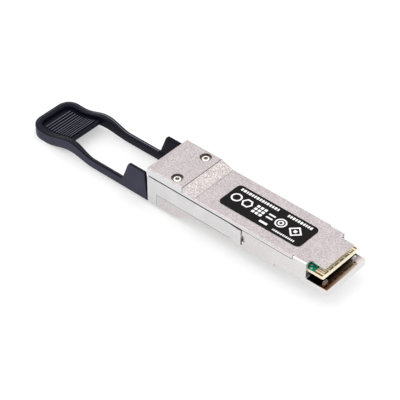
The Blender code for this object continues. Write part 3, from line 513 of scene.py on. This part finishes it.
def moulded_plastic(name):
    """Glass-filled nylon: near black and polished, with fine pits in its roughness and bump, a paler blue
    grey painted light on the outer sides, and thin grey painted highlights along the raised step and the rib
    crests.
    """
    material, shader, place = start_material(name, {"IOR": 1.5, "Specular IOR Level": 0.1})
    pits = {"Scale": 1 / ERODED_GRAIN, "Detail": 3.0}
    texture = add_node(material, "TexNoise", pits, {"Vector": place})[0]
    flow_marks = {"Scale": 1 / FLOW_MARK, "Detail": 3.0, "Distortion": 0.8}
    flow = add_node(material, "TexNoise", flow_marks, {"Vector": place})[0]
    polish = {"data_type": "RGBA", 6: linear("#060610"), 7: linear("#111020")}
    polished = add_node(material, "Mix", polish, {0: flow})[2]
    painted_light_tones = {"data_type": "RGBA", 6: linear("#21202d"), 7: linear("#3c3b4c")}
    painted_light = add_node(material, "Mix", painted_light_tones, {0: flow})[2]
    # Painted light: the outer side faces get the paler blue grey.
    lit_side_share = add_node(material, "Attribute", {"attribute_name": "painted_light_side"})["Fac"]
    rubbed_and_highlit = add_node(material, "Attribute", {"attribute_name": "rubbed_and_highlit"})["Fac"]
    colour = add_node(material, "Mix", {"data_type": "RGBA"}, {0: lit_side_share, 6: polished, 7: painted_light})[2]
    # Painted highlight: the step along the top and the rib crests get thin grey lines.
    rubbed_and_highlight_tone = {"data_type": "RGBA", 7: linear("#8c8b9a")}
    colour = add_node(material, "Mix", rubbed_and_highlight_tone, {0: rubbed_and_highlit, 6: colour})[2]
    rough = {"From Min": 0.3, "From Max": 0.7, "To Min": 0.34, "To Max": 0.5}
    bump = {"Strength": 0.2, "Distance": 0.02 * MM}
    return close_surface(material, shader, colour, rough, texture, bump, texture)


nylon = moulded_plastic("moulded_nylon")
place_piece("pull_tab_loop", tab_loop(), nylon, "pull_latch", ["pull_tab"], sharp=50)


# --- Pull tab: finger pad -----------------------------------------------------
# The floor inside the rim, one with the loop on the real tab. Eleven rounded ribs across it give the
# finger a grip, and a plain bar closes it towards the opening.

PAD_START = 35.65 * MM
PAD_THICKNESS = 1.4 * MM
PAD_DROP = 0.2 * MM
PAD_TUCK = 1.1 * MM  # how far the floor runs in under the rim
PAD_EDGE = 0.4 * MM
PAD_ROWS, PAD_COLUMNS = 260, 70
RIB_COUNT, RIB_FIRST, RIB_PITCH = 11, 37.3 * MM, 1.1 * MM
RIB_WIDTH, RIB_HEIGHT, RIB_MARGIN = 0.46 * MM, 0.5 * MM, 1.2 * MM
RIB_RUNOUT = 0.35 * MM  # length over which a rib's end comes down
RIB_FULLNESS = 2.6  # 2 gives an elliptic rib, and more a squarer one
CREST_SHARE, CREST_HIGHLIGHT = 0.8, 0.38  # above this share of its height a rib gets this much of a grey painted highlight


def finger_pad():
    """Rings of points across the tab, one for each reach: the top goes one way and the bottom back.

    The top is the wave less a small drop, plus a smooth bump on each rib that fades at the rib's ends.
    Both faces are rounded towards the opening, and the width follows the rim's round corners.
    """
    edge_steps = PAD_START + PAD_EDGE * (1 - np.cos(np.linspace(0, math.pi / 2, EDGE_STEPS)))
    rest = np.linspace(PAD_START + PAD_EDGE, TAB_REACH - PAD_TUCK, PAD_ROWS)[1:]
    reach = np.concatenate([edge_steps, rest])[:, None]
    bend = np.clip(reach - (TAB_REACH - TAB_CORNER), 0, TAB_CORNER - PAD_TUCK)
    half = TAB_HALF - TAB_CORNER + np.sqrt((TAB_CORNER - PAD_TUCK) ** 2 - bend**2)
    across = half * np.linspace(-1, 1, PAD_COLUMNS)[None, :]
    nearest = np.clip(np.round((reach - RIB_FIRST) / RIB_PITCH), 0, RIB_COUNT - 1)
    off_rib = (reach - RIB_FIRST - nearest * RIB_PITCH) / (RIB_WIDTH / 2)
    rib_half = TAB_HALF - RIM_WIDTH - RIB_MARGIN
    fade = np.clip((rib_half - np.abs(across)) / RIB_RUNOUT, 0, 1)
    bump = RIB_HEIGHT * np.sqrt(np.clip(1 - np.abs(off_rib) ** RIB_FULLNESS, 0, 1)) * np.sqrt(fade)
    into = np.clip((PAD_START + PAD_EDGE - reach) / PAD_EDGE, 0, 1)
    rounding = PAD_EDGE * (1 - np.sqrt(1 - into**2))
    top = BODY_UNDERSIDE + tab_level(reach) - PAD_DROP + PAD_THICKNESS / 2
    lower = top - PAD_THICKNESS + rounding
    upper = np.stack([HEAD_FRONT - reach + 0 * across, across, top - rounding + bump], -1)
    under = np.stack([HEAD_FRONT - reach + 0 * across, across, lower + 0 * across], -1)
    mesh = loft(np.concatenate([upper, under[:, ::-1]], 1))
    # Painted highlight on the rib crests.
    crest = np.concatenate([bump, 0 * bump], 1) > CREST_SHARE * RIB_HEIGHT
    store(mesh, "rubbed_and_highlit", CREST_HIGHLIGHT * crest)
    return mesh


place_piece("pull_tab_pad", finger_pad(), nylon, "pull_latch", sharp=50)


# --- Circuit board ------------------------------------------------------------
# FR-4 laminate, 1 mm, routed and chamfered at the plug edge. Green solder mask covers both faces up to
# the contact field; the cut edges show the cream glass and resin with thin copper layers.

BOARD_LOW, BOARD_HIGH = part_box("circuit_board")
MASK_END = BOARD_HIGH.x - 3.75 * MM
YARN_BANDS = 1 / (1.5 * MM)  # wave scale that sets yarns 0.94 mm apart along X, about twice the real spacing
COPPER_SPACING = 0.25 * MM
FLAT_FACE = 0.97  # a face whose normal is this near upright is one of the board's two faces


def masked_laminate():
    """Laminate: green mask with the faint weave of the glass under it, amber field between the contacts,
    and cream edges with four darker copper lines.
    """
    material, shader, place = start_material("masked_glass_laminate", {"IOR": 1.5, "Coat Weight": 0.25})
    axes = add_node(material, "SeparateXYZ", links={0: place})
    normal = add_node(material, "NewGeometry")["Normal"]
    lie = add_node(material, "SeparateXYZ", links={0: normal})["Z"]
    flat = add_node(material, "Math", {"operation": "ABSOLUTE"}, {0: lie})[0]
    face = add_node(material, "Math", {"operation": "GREATER_THAN", 1: FLAT_FACE}, {0: flat})[0]
    yarns = {"wave_type": "BANDS", "bands_direction": "DIAGONAL", "Scale": YARN_BANDS, "Distortion": 1.5}
    weave = add_node(material, "TexWave", yarns, {"Vector": place})["Fac"]
    greens = {"data_type": "RGBA", 6: linear("#0b8259"), 7: linear("#129a70")}
    mask = add_node(material, "Mix", greens, {0: weave})[2]
    bare = add_node(material, "Math", {"operation": "GREATER_THAN", 1: MASK_END}, {0: axes["X"]})[0]
    amber = {"data_type": "RGBA", 7: linear("#6d5a30")}
    surface = add_node(material, "Mix", amber, {0: bare, 6: mask})[2]
    copper = {"wave_type": "BANDS", "bands_direction": "Z", "Scale": math.tau / COPPER_SPACING / 20}
    layers = add_node(material, "TexWave", copper, {"Vector": place})["Fac"]
    creams = {"data_type": "RGBA", 6: linear("#dfd2b0"), 7: linear("#f6efdd")}
    resin = add_node(material, "Mix", creams, {0: layers})[2]
    colour = add_node(material, "Mix", {"data_type": "RGBA"}, {0: face, 6: resin, 7: surface})[2]
    rough = {"To Min": 0.75, "To Max": 0.34}
    bump = {"Strength": 0.15, "Distance": 0.02 * MM}
    return close_surface(material, shader, colour, rough, face, bump, weave)


finish_node("circuit_board", masked_laminate())


# --- Contacts -----------------------------------------------------------------
# Nineteen gold-plated copper contacts on each face of the card, 0.8 mm apart. Every third one, a
# ground, starts nearer to the edge, so that it mates first.

CONTACT_COUNT, CONTACT_PITCH, CONTACT_WIDTH = 19, 0.8 * MM, 0.6 * MM
CONTACT_THICKNESS = 0.035 * MM
CONTACT_SETBACK = 1.0 * MM
GROUND_LEAD = 0.42 * MM
CONTACT_END = MASK_END + 0.12 * MM
CONTACT_CORNER = 0.08 * MM
PLATE_EDGE = 0.3  # the share of a thin plate's height over which its edge is chamfered
PLATE_TURN = 5  # points round each of its corners
SINK = 0.005 * MM  # how deep a plated or printed layer starts inside the face under it
WIPE_LENGTH, WIPE_WIDTH = 2 * MM, 0.08 * MM


def plates(centres, halves, low, high, corner):
    """Flat plates in one mesh: each is a rounded rectangle whose top ring is drawn in by a share of its
    height. Centres and halves are arrays of (x, y), and each corner is a quarter circle.
    """
    quarters = [np.linspace(start, start + 90, PLATE_TURN) for start in (0, 90, 180, 270)]
    turn = np.radians(np.concatenate(quarters))
    signs = np.repeat([[1, 1], [-1, 1], [-1, -1], [1, -1]], PLATE_TURN, 0)
    chamfer = (high - low) * PLATE_EDGE
    rings = []
    for level, drawn in ((low, 0.0), (high - chamfer, 0.0), (high, chamfer)):
        reach = signs * (halves[:, None] - corner)
        reach = reach + (corner - drawn) * np.stack([np.cos(turn), np.sin(turn)], -1)
        plan = centres[:, None] + reach
        rings.append(np.concatenate([plan, np.full(plan.shape[:2] + (1,), level)], -1))
    index = np.arange(len(rings) * len(turn)).reshape(len(rings), len(turn))
    ahead = np.roll(index, -1, 1)
    quads = np.stack([index[:-1], ahead[:-1], ahead[1:], index[1:]], -1).reshape(-1, 4)
    shift = (np.arange(len(centres)) * index.size)[:, None, None]
    faces = (quads[None] + shift).reshape(-1, 4).tolist()
    faces += (index[-1][None] + shift[:, 0]).tolist()
    faces += (index[0][::-1][None] + shift[:, 0]).tolist()
    mesh = bpy.data.meshes.new("plates")
    mesh.from_pydata(np.stack(rings, 1).reshape(-1, 3), [], faces)
    return mesh


def contact_plan():
    """Centres and half sizes of one face's contacts, grounds longer than signals."""
    number = np.arange(CONTACT_COUNT)
    across = (number - (CONTACT_COUNT - 1) / 2) * CONTACT_PITCH
    lead = np.where(number % 3 == 0, GROUND_LEAD, 0.0)
    front = BOARD_HIGH.x - CONTACT_SETBACK + lead
    centres = np.stack([(front + CONTACT_END) / 2, across], -1)
    halves = np.stack([(front - CONTACT_END) / 2, np.full(CONTACT_COUNT, CONTACT_WIDTH / 2)], -1)
    return centres, halves


def gold_plate():
    """Hard gold over nickel: warm and smooth, with light wiping scratches along X."""
    material, shader, place = start_material("hard_gold_plate", {"Metallic": 0.15})
    stretch = {"Scale": (1 / WIPE_LENGTH, 1 / WIPE_WIDTH, 1 / WIPE_WIDTH)}
    stretched = add_node(material, "Mapping", stretch, {"Vector": place})[0]
    wipes, colour = mottle(material, stretched, grain=1.0, detail=3.0, dark="#ead9ac", light="#f8edd0")
    roughness = add_node(material, "MapRange", {"To Min": 0.2, "To Max": 0.38}, {"Value": wipes})[0]
    plug_in(material, shader, {"Base Color": colour, "Roughness": roughness})
    return material


gold = gold_plate()
contact_centres, contact_halves = contact_plan()
PLATED_LOW, PLATED_HIGH = BOARD_HIGH.z - SINK, BOARD_HIGH.z + CONTACT_THICKNESS
for face, low, high in (
    ("upper", PLATED_LOW, PLATED_HIGH),
    ("lower", BOARD_LOW.z - CONTACT_THICKNESS, BOARD_LOW.z + SINK),
):
    contacts = plates(contact_centres, contact_halves, low, high, CONTACT_CORNER)
    place_piece(f"card_contacts_{face}", contacts, gold, "case")


# --- Vias ---------------------------------------------------------------------
# Small round plated holes through the board, filled with solder and left free of mask: two on each
# shoulder of the card, behind the contacts.

VIA_RADIUS = 0.42 * MM
VIA_SETBACKS = np.array([5.2, 5.2, 5.9, 5.9]) * MM
VIA_ACROSS = np.array([-7.4, 7.4, -6.3, 6.3]) * MM
ROUND = 0.999  # a corner this near to the half width makes a plate round

# Hot-dipped solder: bright grey with slow soft ripples.
solder = mottled(
    "solder_tin",
    {"Metallic": 0.5},
    grain=0.25 * MM,
    detail=1.0,
    tones=("#cfd2d4", "#f4f5f5"),
    roughness=(0.22, 0.4),
)
via_centres = np.stack([BOARD_HIGH.x - VIA_SETBACKS, VIA_ACROSS], -1)
via_halves = np.full((len(via_centres), 2), VIA_RADIUS)
vias = plates(via_centres, via_halves, PLATED_LOW, PLATED_HIGH, VIA_RADIUS * ROUND)
place_piece("card_vias", vias, solder, "case")


# --- Parts on the board -------------------------------------------------------
# Moulded chips and ceramic chip parts, reflowed to the board. Chips are black epoxy with a dull
# moulded skin; resistors and capacitors are ceramic with tinned ends.

MIDDLE_SHARE = 0.28  # half the bare ceramic between the tinned ends, as a share of the part's length
FIRED_GRAIN = 0.15 * MM


def tinned_ceramic(name, light, dark, centre, half):
    """Fired ceramic between two tinned ends: the ends are where X is further than half from the centre."""
    material, shader, place = start_material(name, {"IOR": 1.6})
    along = add_node(material, "SeparateXYZ", links={0: place})["X"]
    middle = between(material, along, centre - half, centre + half)
    fired, ceramic = mottle(material, place, FIRED_GRAIN, detail=3.0, dark=dark, light=light)
    ends = {"data_type": "RGBA", 6: linear("#dddfe0")}
    colour = add_node(material, "Mix", ends, {0: middle, 7: ceramic})[2]
    metallic = add_node(material, "Math", {"operation": "SUBTRACT", 0: 1.0}, {1: middle})[0]
    roughness = add_node(material, "MapRange", {"To Min": 0.3, "To Max": 0.5}, {"Value": fired})[0]
    plug_in(material, shader, {"Base Color": colour, "Metallic": metallic, "Roughness": roughness})
    return material


# Black epoxy filled with silica: matt, with fine pale specks.
epoxy = mottled(
    "moulded_epoxy",
    {"IOR": 1.55},
    grain=0.12 * MM,
    detail=2.0,
    tones=("#151515", "#2e2e30"),
    roughness=(0.5, 0.7),
)
for name in ("microcontroller", "memory_chip", "voltage_regulator"):
    finish_node(name, epoxy)
for name in sorted(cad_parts):
    low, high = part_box(name)
    centre, half = (low.x + high.x) / 2, (high.x - low.x) * MIDDLE_SHARE
    if name.startswith("load_resistor"):
        finish_node(name, tinned_ceramic(f"resistor_{name[-1]}", "#33333a", "#202026", centre, half))
    elif "capacitor" in name:
        finish_node(name, tinned_ceramic(f"{name}_ceramic", "#b08c63", "#8d6c48", centre, half))


# --- Gaskets and thermal pad --------------------------------------------------
# Carbon-loaded foam bars that seal the case against radio noise, and the soft silicone pad that carries
# the load resistors' heat into the cover. Both are cut from sheet and pressed in.


def cut_foam(name, pale, dark, cell, roughness):
    """Cut sheet with open cells: pale walls round dark pits of the cell's size."""
    material, shader, place = start_material(name, {"IOR": 1.45, "Specular IOR Level": 0.3})
    open_cells = {"feature": "DISTANCE_TO_EDGE", "Scale": 1 / cell}
    cells = add_node(material, "TexVoronoi", open_cells, {"Vector": place})["Distance"]
    walls = add_node(material, "MapRange", {"From Min": 0.02, "From Max": 0.22}, {"Value": cells})[0]
    tones = {"data_type": "RGBA", 6: linear(pale), 7: linear(dark)}
    colour = add_node(material, "Mix", tones, {0: walls})[2]
    rough = {"To Min": roughness - 0.1, "To Max": roughness}
    bump = {"Strength": 0.6, "Distance": cell / 3, "invert": True}
    return close_surface(material, shader, colour, rough, walls, bump, walls)


carbon_foam = cut_foam("carbon_loaded_foam", "#2b2b2e", "#111113", cell=0.3 * MM, roughness=0.9)
silicone = cut_foam("filled_silicone", "#8d97ad", "#74809a", cell=0.5 * MM, roughness=0.8)
finish_node("emi_gasket_lower", carbon_foam)
finish_node("emi_gasket_upper", carbon_foam)
finish_node("thermal_pad", silicone)


# --- Upper casting ------------------------------------------------------------
# The cover: the same blasted and plated zinc, in darker tones as painted shade on its top. The slope
# behind the raised head keeps the coarse grain of the die, which sparkles with painted glints, and fine
# witness lines part it from the head and from the flat.

COVER_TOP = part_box("top_cover")[1].z
SLOPE_START = HEAD_FRONT + 14.3 * MM
SLOPE_END = HEAD_FRONT + 19.1 * MM
SLOPE_FOOT = COVER_TOP - 2.0 * MM  # the slope's finish ends below this
DIE_GRAIN = 0.28 * MM
WITNESS_LINE = 0.13 * MM  # half its width
HEAD_LINE, FLAT_LINE = 0.9, 0.35  # strength of the line at the head and of the one at the flat
UPRIGHT = 0.3  # a face whose normal rises or falls by less than this is upright
SCREW_LOW, SCREW_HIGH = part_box("cover_screw_left")
SCREW_PLACE = ((SCREW_LOW.x + SCREW_HIGH.x) / 2, abs(SCREW_LOW.y + SCREW_HIGH.y) / 2, 0.0)
COUNTERBORE = 2.1 * MM  # radius within which the casting gets painted shade below the head's top
SHADE_BELOW = COVER_TOP - 0.12 * MM


def grained_slope(material, axes, colour, roughness, height):
    """On the slope the dents give way to coarse facets, painted as bright glints, and its two ends are thin
    dark lines. Upright faces are painted whiter, as light from the bright floor, and the screws' counterbores
    get painted shade.
    """
    raised = {"operation": "GREATER_THAN", 1: SLOPE_FOOT}
    above = add_node(material, "Math", raised, {0: axes["Z"]})[0]
    along = between(material, axes["X"], SLOPE_START + WITNESS_LINE, SLOPE_END - WITNESS_LINE)
    slope = add_node(material, "Math", {"operation": "MULTIPLY"}, {0: above, 1: along})[0]
    place = add_node(material, "TexCoord")["Object"]
    # Painted glints: each coarse facet gets its own tone between a dark and a bright one, and that tone also
    # makes its bump.
    grains = {"Scale": 1 / DIE_GRAIN, "Randomness": 1.0}
    facets = add_node(material, "TexVoronoi", grains, {"Vector": place})["Color"]
    tint = add_node(material, "SeparateXYZ", links={0: facets})["X"]
    tones = {"data_type": "RGBA", 6: linear("#a19a98"), 7: linear("#dfd8d6")}
    sparkle = add_node(material, "Mix", tones, {0: tint})[2]
    colour = add_node(material, "Mix", {"data_type": "RGBA"}, {0: slope, 6: colour, 7: sparkle})[2]
    height = add_node(material, "Mix", {"data_type": "FLOAT"}, {0: slope, 2: height, 3: tint})[0]
    normal = add_node(material, "NewGeometry")["Normal"]
    lie = add_node(material, "SeparateXYZ", links={0: normal})["Z"]
    upright = between(material, lie, -UPRIGHT, UPRIGHT)
    # Painted light: upright faces are whiter, as lit by the bright floor.
    painted_side_light = {"data_type": "RGBA", 7: linear("#dadadb")}
    colour = add_node(material, "Mix", painted_side_light, {0: upright, 6: colour})[2]
    folded = add_node(material, "Math", {"operation": "ABSOLUTE"}, {0: axes["Y"]})[0]
    plan = add_node(material, "CombineXYZ", links={0: axes["X"], 1: folded})[0]
    radius = add_node(material, "VectorMath", {"operation": "DISTANCE", 1: SCREW_PLACE}, {0: plan})["Value"]
    bored = between(material, radius, 0.0, COUNTERBORE)
    sunk = between(material, axes["Z"], 0.0, SHADE_BELOW)
    painted_shade = add_node(material, "Math", {"operation": "MULTIPLY"}, {0: bored, 1: sunk})[0]
    # Painted shade in the screws' counterbores, below the head's top.
    painted_shade_tone = {"data_type": "RGBA", 7: linear("#b3abaa")}
    colour = add_node(material, "Mix", painted_shade_tone, {0: painted_shade, 6: colour})[2]
    line_tone = {"data_type": "RGBA", 7: linear("#5f5856")}
    for x, strength in ((SLOPE_START + WITNESS_LINE, HEAD_LINE), (SLOPE_END + WITNESS_LINE, FLAT_LINE)):
        line = between(material, axes["X"], x - WITNESS_LINE, x + WITNESS_LINE)
        seen = add_node(material, "Math", {"operation": "MULTIPLY"}, {0: line, 1: above})[0]
        weak = add_node(material, "Math", {"operation": "MULTIPLY", 1: strength}, {0: seen})[0]
        colour = add_node(material, "Mix", line_tone, {0: weak, 6: colour})[2]
    return colour, roughness, height


# The cover gets darker tones than the lower casting: painted shade on its top.
finish_node("top_cover", blasted_nickel("blasted_nickel_upper_shaded", "#d2cacb", "#968e8f", grained_slope))


# --- Cover screws -------------------------------------------------------------
# Two small pan-head machine screws, cold headed and nickel plated, with a hexagonal drive. They pull
# the head end of the cover down. Below the tops of their heads, in the drive and round the rim, shade is
# painted.

SCREW_HEAD_RADIUS = 1.35 * MM
SCREW_HEAD_HEIGHT = 1.0 * MM
SOCKET_FLAT = 0.62 * MM  # from the middle to each flat of the drive
SOCKET_DEPTH = 0.6 * MM
DRIVE_STEPS = ((1.1, 0.0), (1.0, 0.08 * MM), (0.97, SOCKET_DEPTH * 0.85), (0.8, SOCKET_DEPTH))  # share, depth
DRIVE_TIP, DRIVE_TIP_DEPTH = 0.15 * MM, SOCKET_DEPTH + 0.05 * MM
SHANK_RADIUS, SHANK_TIP, SHANK_CHAMFER = 0.8 * MM, 0.35 * MM, 0.25 * MM
RIM_RADIUS, RIM_BREAK = 0.34 * MM, 0.05 * MM  # the head's rounded upper edge and broken lower edge
THREAD_PITCH, THREAD_DEPTH = 0.4 * MM, 0.09 * MM
THREAD_START, THREAD_END = 0.2 * MM, 0.3 * MM  # how far it starts above the tip and ends below the head
THREAD_STEPS, RIM_STEPS, SCREW_SIDES = 8, 9, 96
BRIGHT_TOP_DEPTH = 0.14 * MM  # how deep below the head's top the bright tone reaches; below it shade is painted
PLATING_SPOT = 0.4 * MM


def machine_screw(low, high):
    """Rings turned round the screw's axis: up the threaded shank, out over the head's rounded rim, and
    down into the drive, where the radius changes to a hexagon's as it is crossed at each angle.
    """
    centre = (np.array(low) + np.array(high)) / 2
    angle = np.linspace(0, math.tau, SCREW_SIDES, endpoint=False)
    hexagon = SOCKET_FLAT / np.cos((angle + math.pi / 6) % (math.pi / 3) - math.pi / 6)
    seat = high.z - SCREW_HEAD_HEIGHT
    thread = np.arange(low.z + THREAD_START, seat - THREAD_END, THREAD_PITCH / THREAD_STEPS)
    crest = SHANK_RADIUS - THREAD_DEPTH * (0.5 - 0.5 * np.cos(math.tau * thread / THREAD_PITCH))
    turn, lift = corner_arc(0, 90, RIM_STEPS)
    radii = [SHANK_TIP, SHANK_RADIUS - SHANK_CHAMFER, *crest, SHANK_RADIUS, SHANK_RADIUS]
    levels = [low.z, low.z, *thread, seat - SHANK_CHAMFER, seat]
    radii += [SCREW_HEAD_RADIUS - RIM_BREAK, SCREW_HEAD_RADIUS, SCREW_HEAD_RADIUS]
    levels += [seat, seat + RIM_BREAK, high.z - RIM_RADIUS]
    radii += list(SCREW_HEAD_RADIUS - RIM_RADIUS + RIM_RADIUS * turn)
    levels += list(high.z - RIM_RADIUS + RIM_RADIUS * lift)
    rings = [(radius + 0 * angle, level) for radius, level in zip(radii, levels)]
    rings += [(hexagon * share, high.z - depth) for share, depth in DRIVE_STEPS]
    rings.append((DRIVE_TIP + 0 * angle, high.z - DRIVE_TIP_DEPTH))
    radius = np.stack([ring[0] for ring in rings])
    level = np.array([ring[1] for ring in rings])[:, None] + 0 * angle
    return loft(
        np.stack([centre[0] + radius * np.cos(angle), centre[1] + radius * np.sin(angle), level], -1)
    )


def plated_screw_steel(top):
    """Nickel-plated steel: warm and bright on the head's top, and darker below it in the drive and round
    the rim, where shade is painted.
    """
    material, shader, place = start_material("nickel_plated_screw_steel", {"Metallic": 1.0})
    spots, colour = mottle(material, place, PLATING_SPOT, detail=3.0, dark="#d2cfc4", light="#fffefa")
    height = add_node(material, "SeparateXYZ", links={0: place})["Z"]
    painted_shade = between(material, height, 0.0, top - BRIGHT_TOP_DEPTH)
    # Painted shade in the drive and round the rim, where the counterbore shades the head.
    painted_shade_tone = {"data_type": "RGBA", 7: linear("#8b877c")}
    colour = add_node(material, "Mix", painted_shade_tone, {0: painted_shade, 6: colour})[2]
    rough = {"To Min": 0.14, "To Max": 0.34}
    bump = {"Strength": 0.15, "Distance": 0.02 * MM}
    return close_surface(material, shader, colour, rough, spots, bump, spots)


screw_steel = plated_screw_steel(SCREW_HIGH.z)
for side in ("left", "right"):
    node = f"cover_screw_{side}"
    screw = machine_screw(*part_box(node))
    place_piece(f"machine_screw_{side}", screw, screw_steel, "case", [node], sharp=30)


# --- Label --------------------------------------------------------------------
# A black polyester film with white thermal print, stuck to the cover. The print is generic: bars in
# place of lines of text, and five plain figures in the middle row.

LABEL_LOW, LABEL_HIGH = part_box("rating_label")
LABEL_CENTRE = (LABEL_LOW + LABEL_HIGH) / 2
INK_HEIGHT = 0.012 * MM
INK_LOW, INK_HIGH = LABEL_HIGH.z - SINK, LABEL_HIGH.z + INK_HEIGHT
FILM_TOOTH, DUST_PATCH = 0.25 * MM, 6 * MM
LETTER_WIDTH, LETTER_GAP = 0.8, 0.28  # of the dummy text, as shares of its height
LETTER_NARROW, LETTER_COUNT = 0.55, 40  # narrowest letter as a share of the widest, and most in a line
FIGURE_STROKE, RING_STROKE = 0.52 * MM, 0.468 * MM


def label_film():
    """Matt black film: almost even, with a fine tooth and a few dusty, paler patches."""
    material, shader, place = start_material("black_polyester_film", {"IOR": 1.5, "Specular IOR Level": 0.06})
    coated = {"Scale": 1 / FILM_TOOTH, "Detail": 2.0}
    tooth = add_node(material, "TexNoise", coated, {"Vector": place})[0]
    colour = mottle(material, place, DUST_PATCH, detail=5.0, dark="#110f10", light="#1a1718")[1]
    rough = {"To Min": 0.48, "To Max": 0.66}
    bump = {"Strength": 0.12, "Distance": 0.01 * MM}
    return close_surface(material, shader, colour, rough, tooth, bump, tooth)


def outline_figure(centre, radius, stroke, sides):
    """A printed line round a regular figure: at each corner a rectangle of ink, from the inner to the
    outer radius and from the film up to the ink's height. Many sides make a ring.
    """
    angle = np.linspace(0, math.tau, sides, endpoint=False)[:, None]
    spread = radius + stroke / 2 / math.cos(math.pi / sides) * np.array([[-1, 1, 1, -1]])
    level = np.array([[INK_LOW, INK_LOW, INK_HIGH, INK_HIGH]]) + 0 * angle
    return loft(
        np.stack([centre[0] + spread * np.cos(angle), centre[1] + spread * np.sin(angle), level], -1),
        looped=True,
    )


def bars(centres, halves, corner):
    """Printed bars in one mesh: their centres, from the label's middle, and half sizes are in millimetres."""
    centres = np.array(centres) * MM + np.array(LABEL_CENTRE)[:2]
    return plates(centres, np.array(halves) * MM, INK_LOW, INK_HIGH, corner * MM)


def greeked_line(start, end, level, height, seed):
    """A line of dummy text: short upright bars of uneven width with small gaps, as far-off print looks."""
    spread = np.random.default_rng(seed).uniform(LETTER_NARROW, 1.0, LETTER_COUNT)
    widths = spread * height * LETTER_WIDTH
    ends = start + np.cumsum(widths + height * LETTER_GAP)
    kept = ends < end
    centres = np.stack([(ends - widths / 2)[kept], np.full(kept.sum(), level)], -1)
    halves = np.stack([(widths / 2)[kept], np.full(kept.sum(), height / 2)], -1)
    return centres, halves


def print_piece(name, mesh):
    """Puts a printed figure on the label."""
    return place_piece(name, mesh, ink, "case", sharp=20)


finish_node("rating_label", label_film())

# White thermal transfer ink: matt, and a little thin in places.
ink = mottled(
    "white_transfer_ink",
    {"IOR": 1.45, "Roughness": 0.6},
    grain=0.2 * MM,
    detail=2.0,
    tones=("#c9c7c8", "#ffffff"),
)

text_lines = [
    greeked_line(start=-14.0, end=1.2, level=3.75, height=1.1, seed=1),
    greeked_line(start=4.2, end=14.0, level=3.75, height=1.1, seed=2),
    greeked_line(start=4.6, end=13.6, level=-4.05, height=0.75, seed=3),
]
text_centres, text_halves = (np.concatenate(column) for column in zip(*text_lines))
print_piece("label_text_bars", bars(text_centres, text_halves, corner=0.16))

for name, x, y, radius, stroke, sides in (
    ("label_ring", -12.4, -0.1, 1.55, FIGURE_STROKE, 48),
    ("label_hexagon", -8.2, -0.1, 1.65, FIGURE_STROKE, 6),
    ("label_outer_ring", 5.0, -0.3, 1.7, RING_STROKE, 48),
    ("label_inner_ring", 5.0, -0.3, 0.75, RING_STROKE, 32),
    ("label_diamond", 10.6, -0.4, 2.1, FIGURE_STROKE, 4),
):
    centre = (LABEL_CENTRE.x + x * MM, LABEL_CENTRE.y + y * MM)
    print_piece(name, outline_figure(centre, radius * MM, stroke, sides))

# A grid of nine blocks, and single bars beside it and in the diamond: x, y, half width and half height.
grid = [[x, y, 0.5, 0.5] for y in (1.1, -0.3, -1.7) for x in (-4.7, -3.3, -1.9)]
single = [[0.9, -3.6, 1.5, 0.42], [1.0, 0.6, 1.25, 0.3], [1.0, -0.9, 1.25, 0.3], [10.6, -0.4, 0.55, 0.55]]
blocks = np.array(grid + single)
print_piece("label_blocks", bars(blocks[:, :2], blocks[:, 2:], corner=0.12))


# --- Studio -------------------------------------------------------------------
# A plain white floor under even soft light: a wide key lamp from the left, weaker ones from the right
# and from high up behind, and a white surround that the metal mirrors.

FLOOR_HALF = 3.0  # metres
WHITE = linear("#ffffff")

# Matt white acrylic lit softly from behind, which keeps shadows pale; its tone hardly varies.
acrylic = mottled(
    "backlit_white_acrylic",
    {"Roughness": 0.9, "Specular IOR Level": 0.1, "Emission Strength": 0.4, "Emission Color": WHITE},
    grain=60 * MM,
    detail=2.0,
    tones=("#bebebe", "#c1c1c1"),
)
corners = np.array([[-1, -1, 0], [1, -1, 0], [1, 1, 0], [-1, 1, 0]]) * FLOOR_HALF
floor_mesh = bpy.data.meshes.new("studio_floor")
floor_mesh.from_pydata(corners, [], [(0, 1, 2, 3)])
floor_mesh.materials.append(acrylic)
floor = bpy.data.objects.new("studio_floor", floor_mesh)
bpy.context.scene.collection.objects.link(floor)

world = bpy.data.worlds.new("white_surround")
world.use_nodes = True
background = world.node_tree.nodes["Background"].inputs
background["Color"].default_value = WHITE
background["Strength"].default_value = 1.1
bpy.context.scene.world = world
bpy.context.scene.view_settings.view_transform = "Standard"

for name, place, size, power, colour in (
    ("key", (-0.35, -0.25, 0.75), 0.6, 1.5, "#ffffff"),
    ("fill", (0.65, -0.15, 0.5), 0.6, 1.0, "#ffffff"),
    ("overhead", (-0.15, 0.35, 0.9), 0.8, 1.0, "#fff6f7"),
):
    lamp = bpy.data.lights.new(name, "AREA")
    lamp.size = size
    lamp.energy = power
    lamp.color = linear(colour)[:3]
    holder = bpy.data.objects.new(name, lamp)
    holder.location = place
    holder.rotation_euler = (-Vector(place)).to_track_quat("-Z", "Y").to_euler()
    bpy.context.scene.collection.objects.link(holder)

AIM = Vector((8.442, -4.368, 8.4)) * MM
AZIMUTH, ELEVATION, ROLL = (math.radians(angle) for angle in (41.772, 40.913, -0.161))
DISTANCE = 534.987 * MM
back = Vector(
    (math.sin(AZIMUTH) * math.cos(ELEVATION), -math.cos(AZIMUTH) * math.cos(ELEVATION), math.sin(ELEVATION))
)
camera_data = bpy.data.cameras.new("camera")
camera_data.sensor_width = 36.0
camera_data.lens = 158.33
camera_data.clip_start = 0.01
camera = bpy.data.objects.new("camera", camera_data)
turned = back.to_track_quat("Z", "Y").to_matrix().to_4x4() @ Matrix.Rotation(ROLL, 4, "Z")
camera.matrix_world = Matrix.Translation(AIM + back * DISTANCE) @ turned
bpy.context.scene.collection.objects.link(camera)
bpy.context.scene.camera = camera
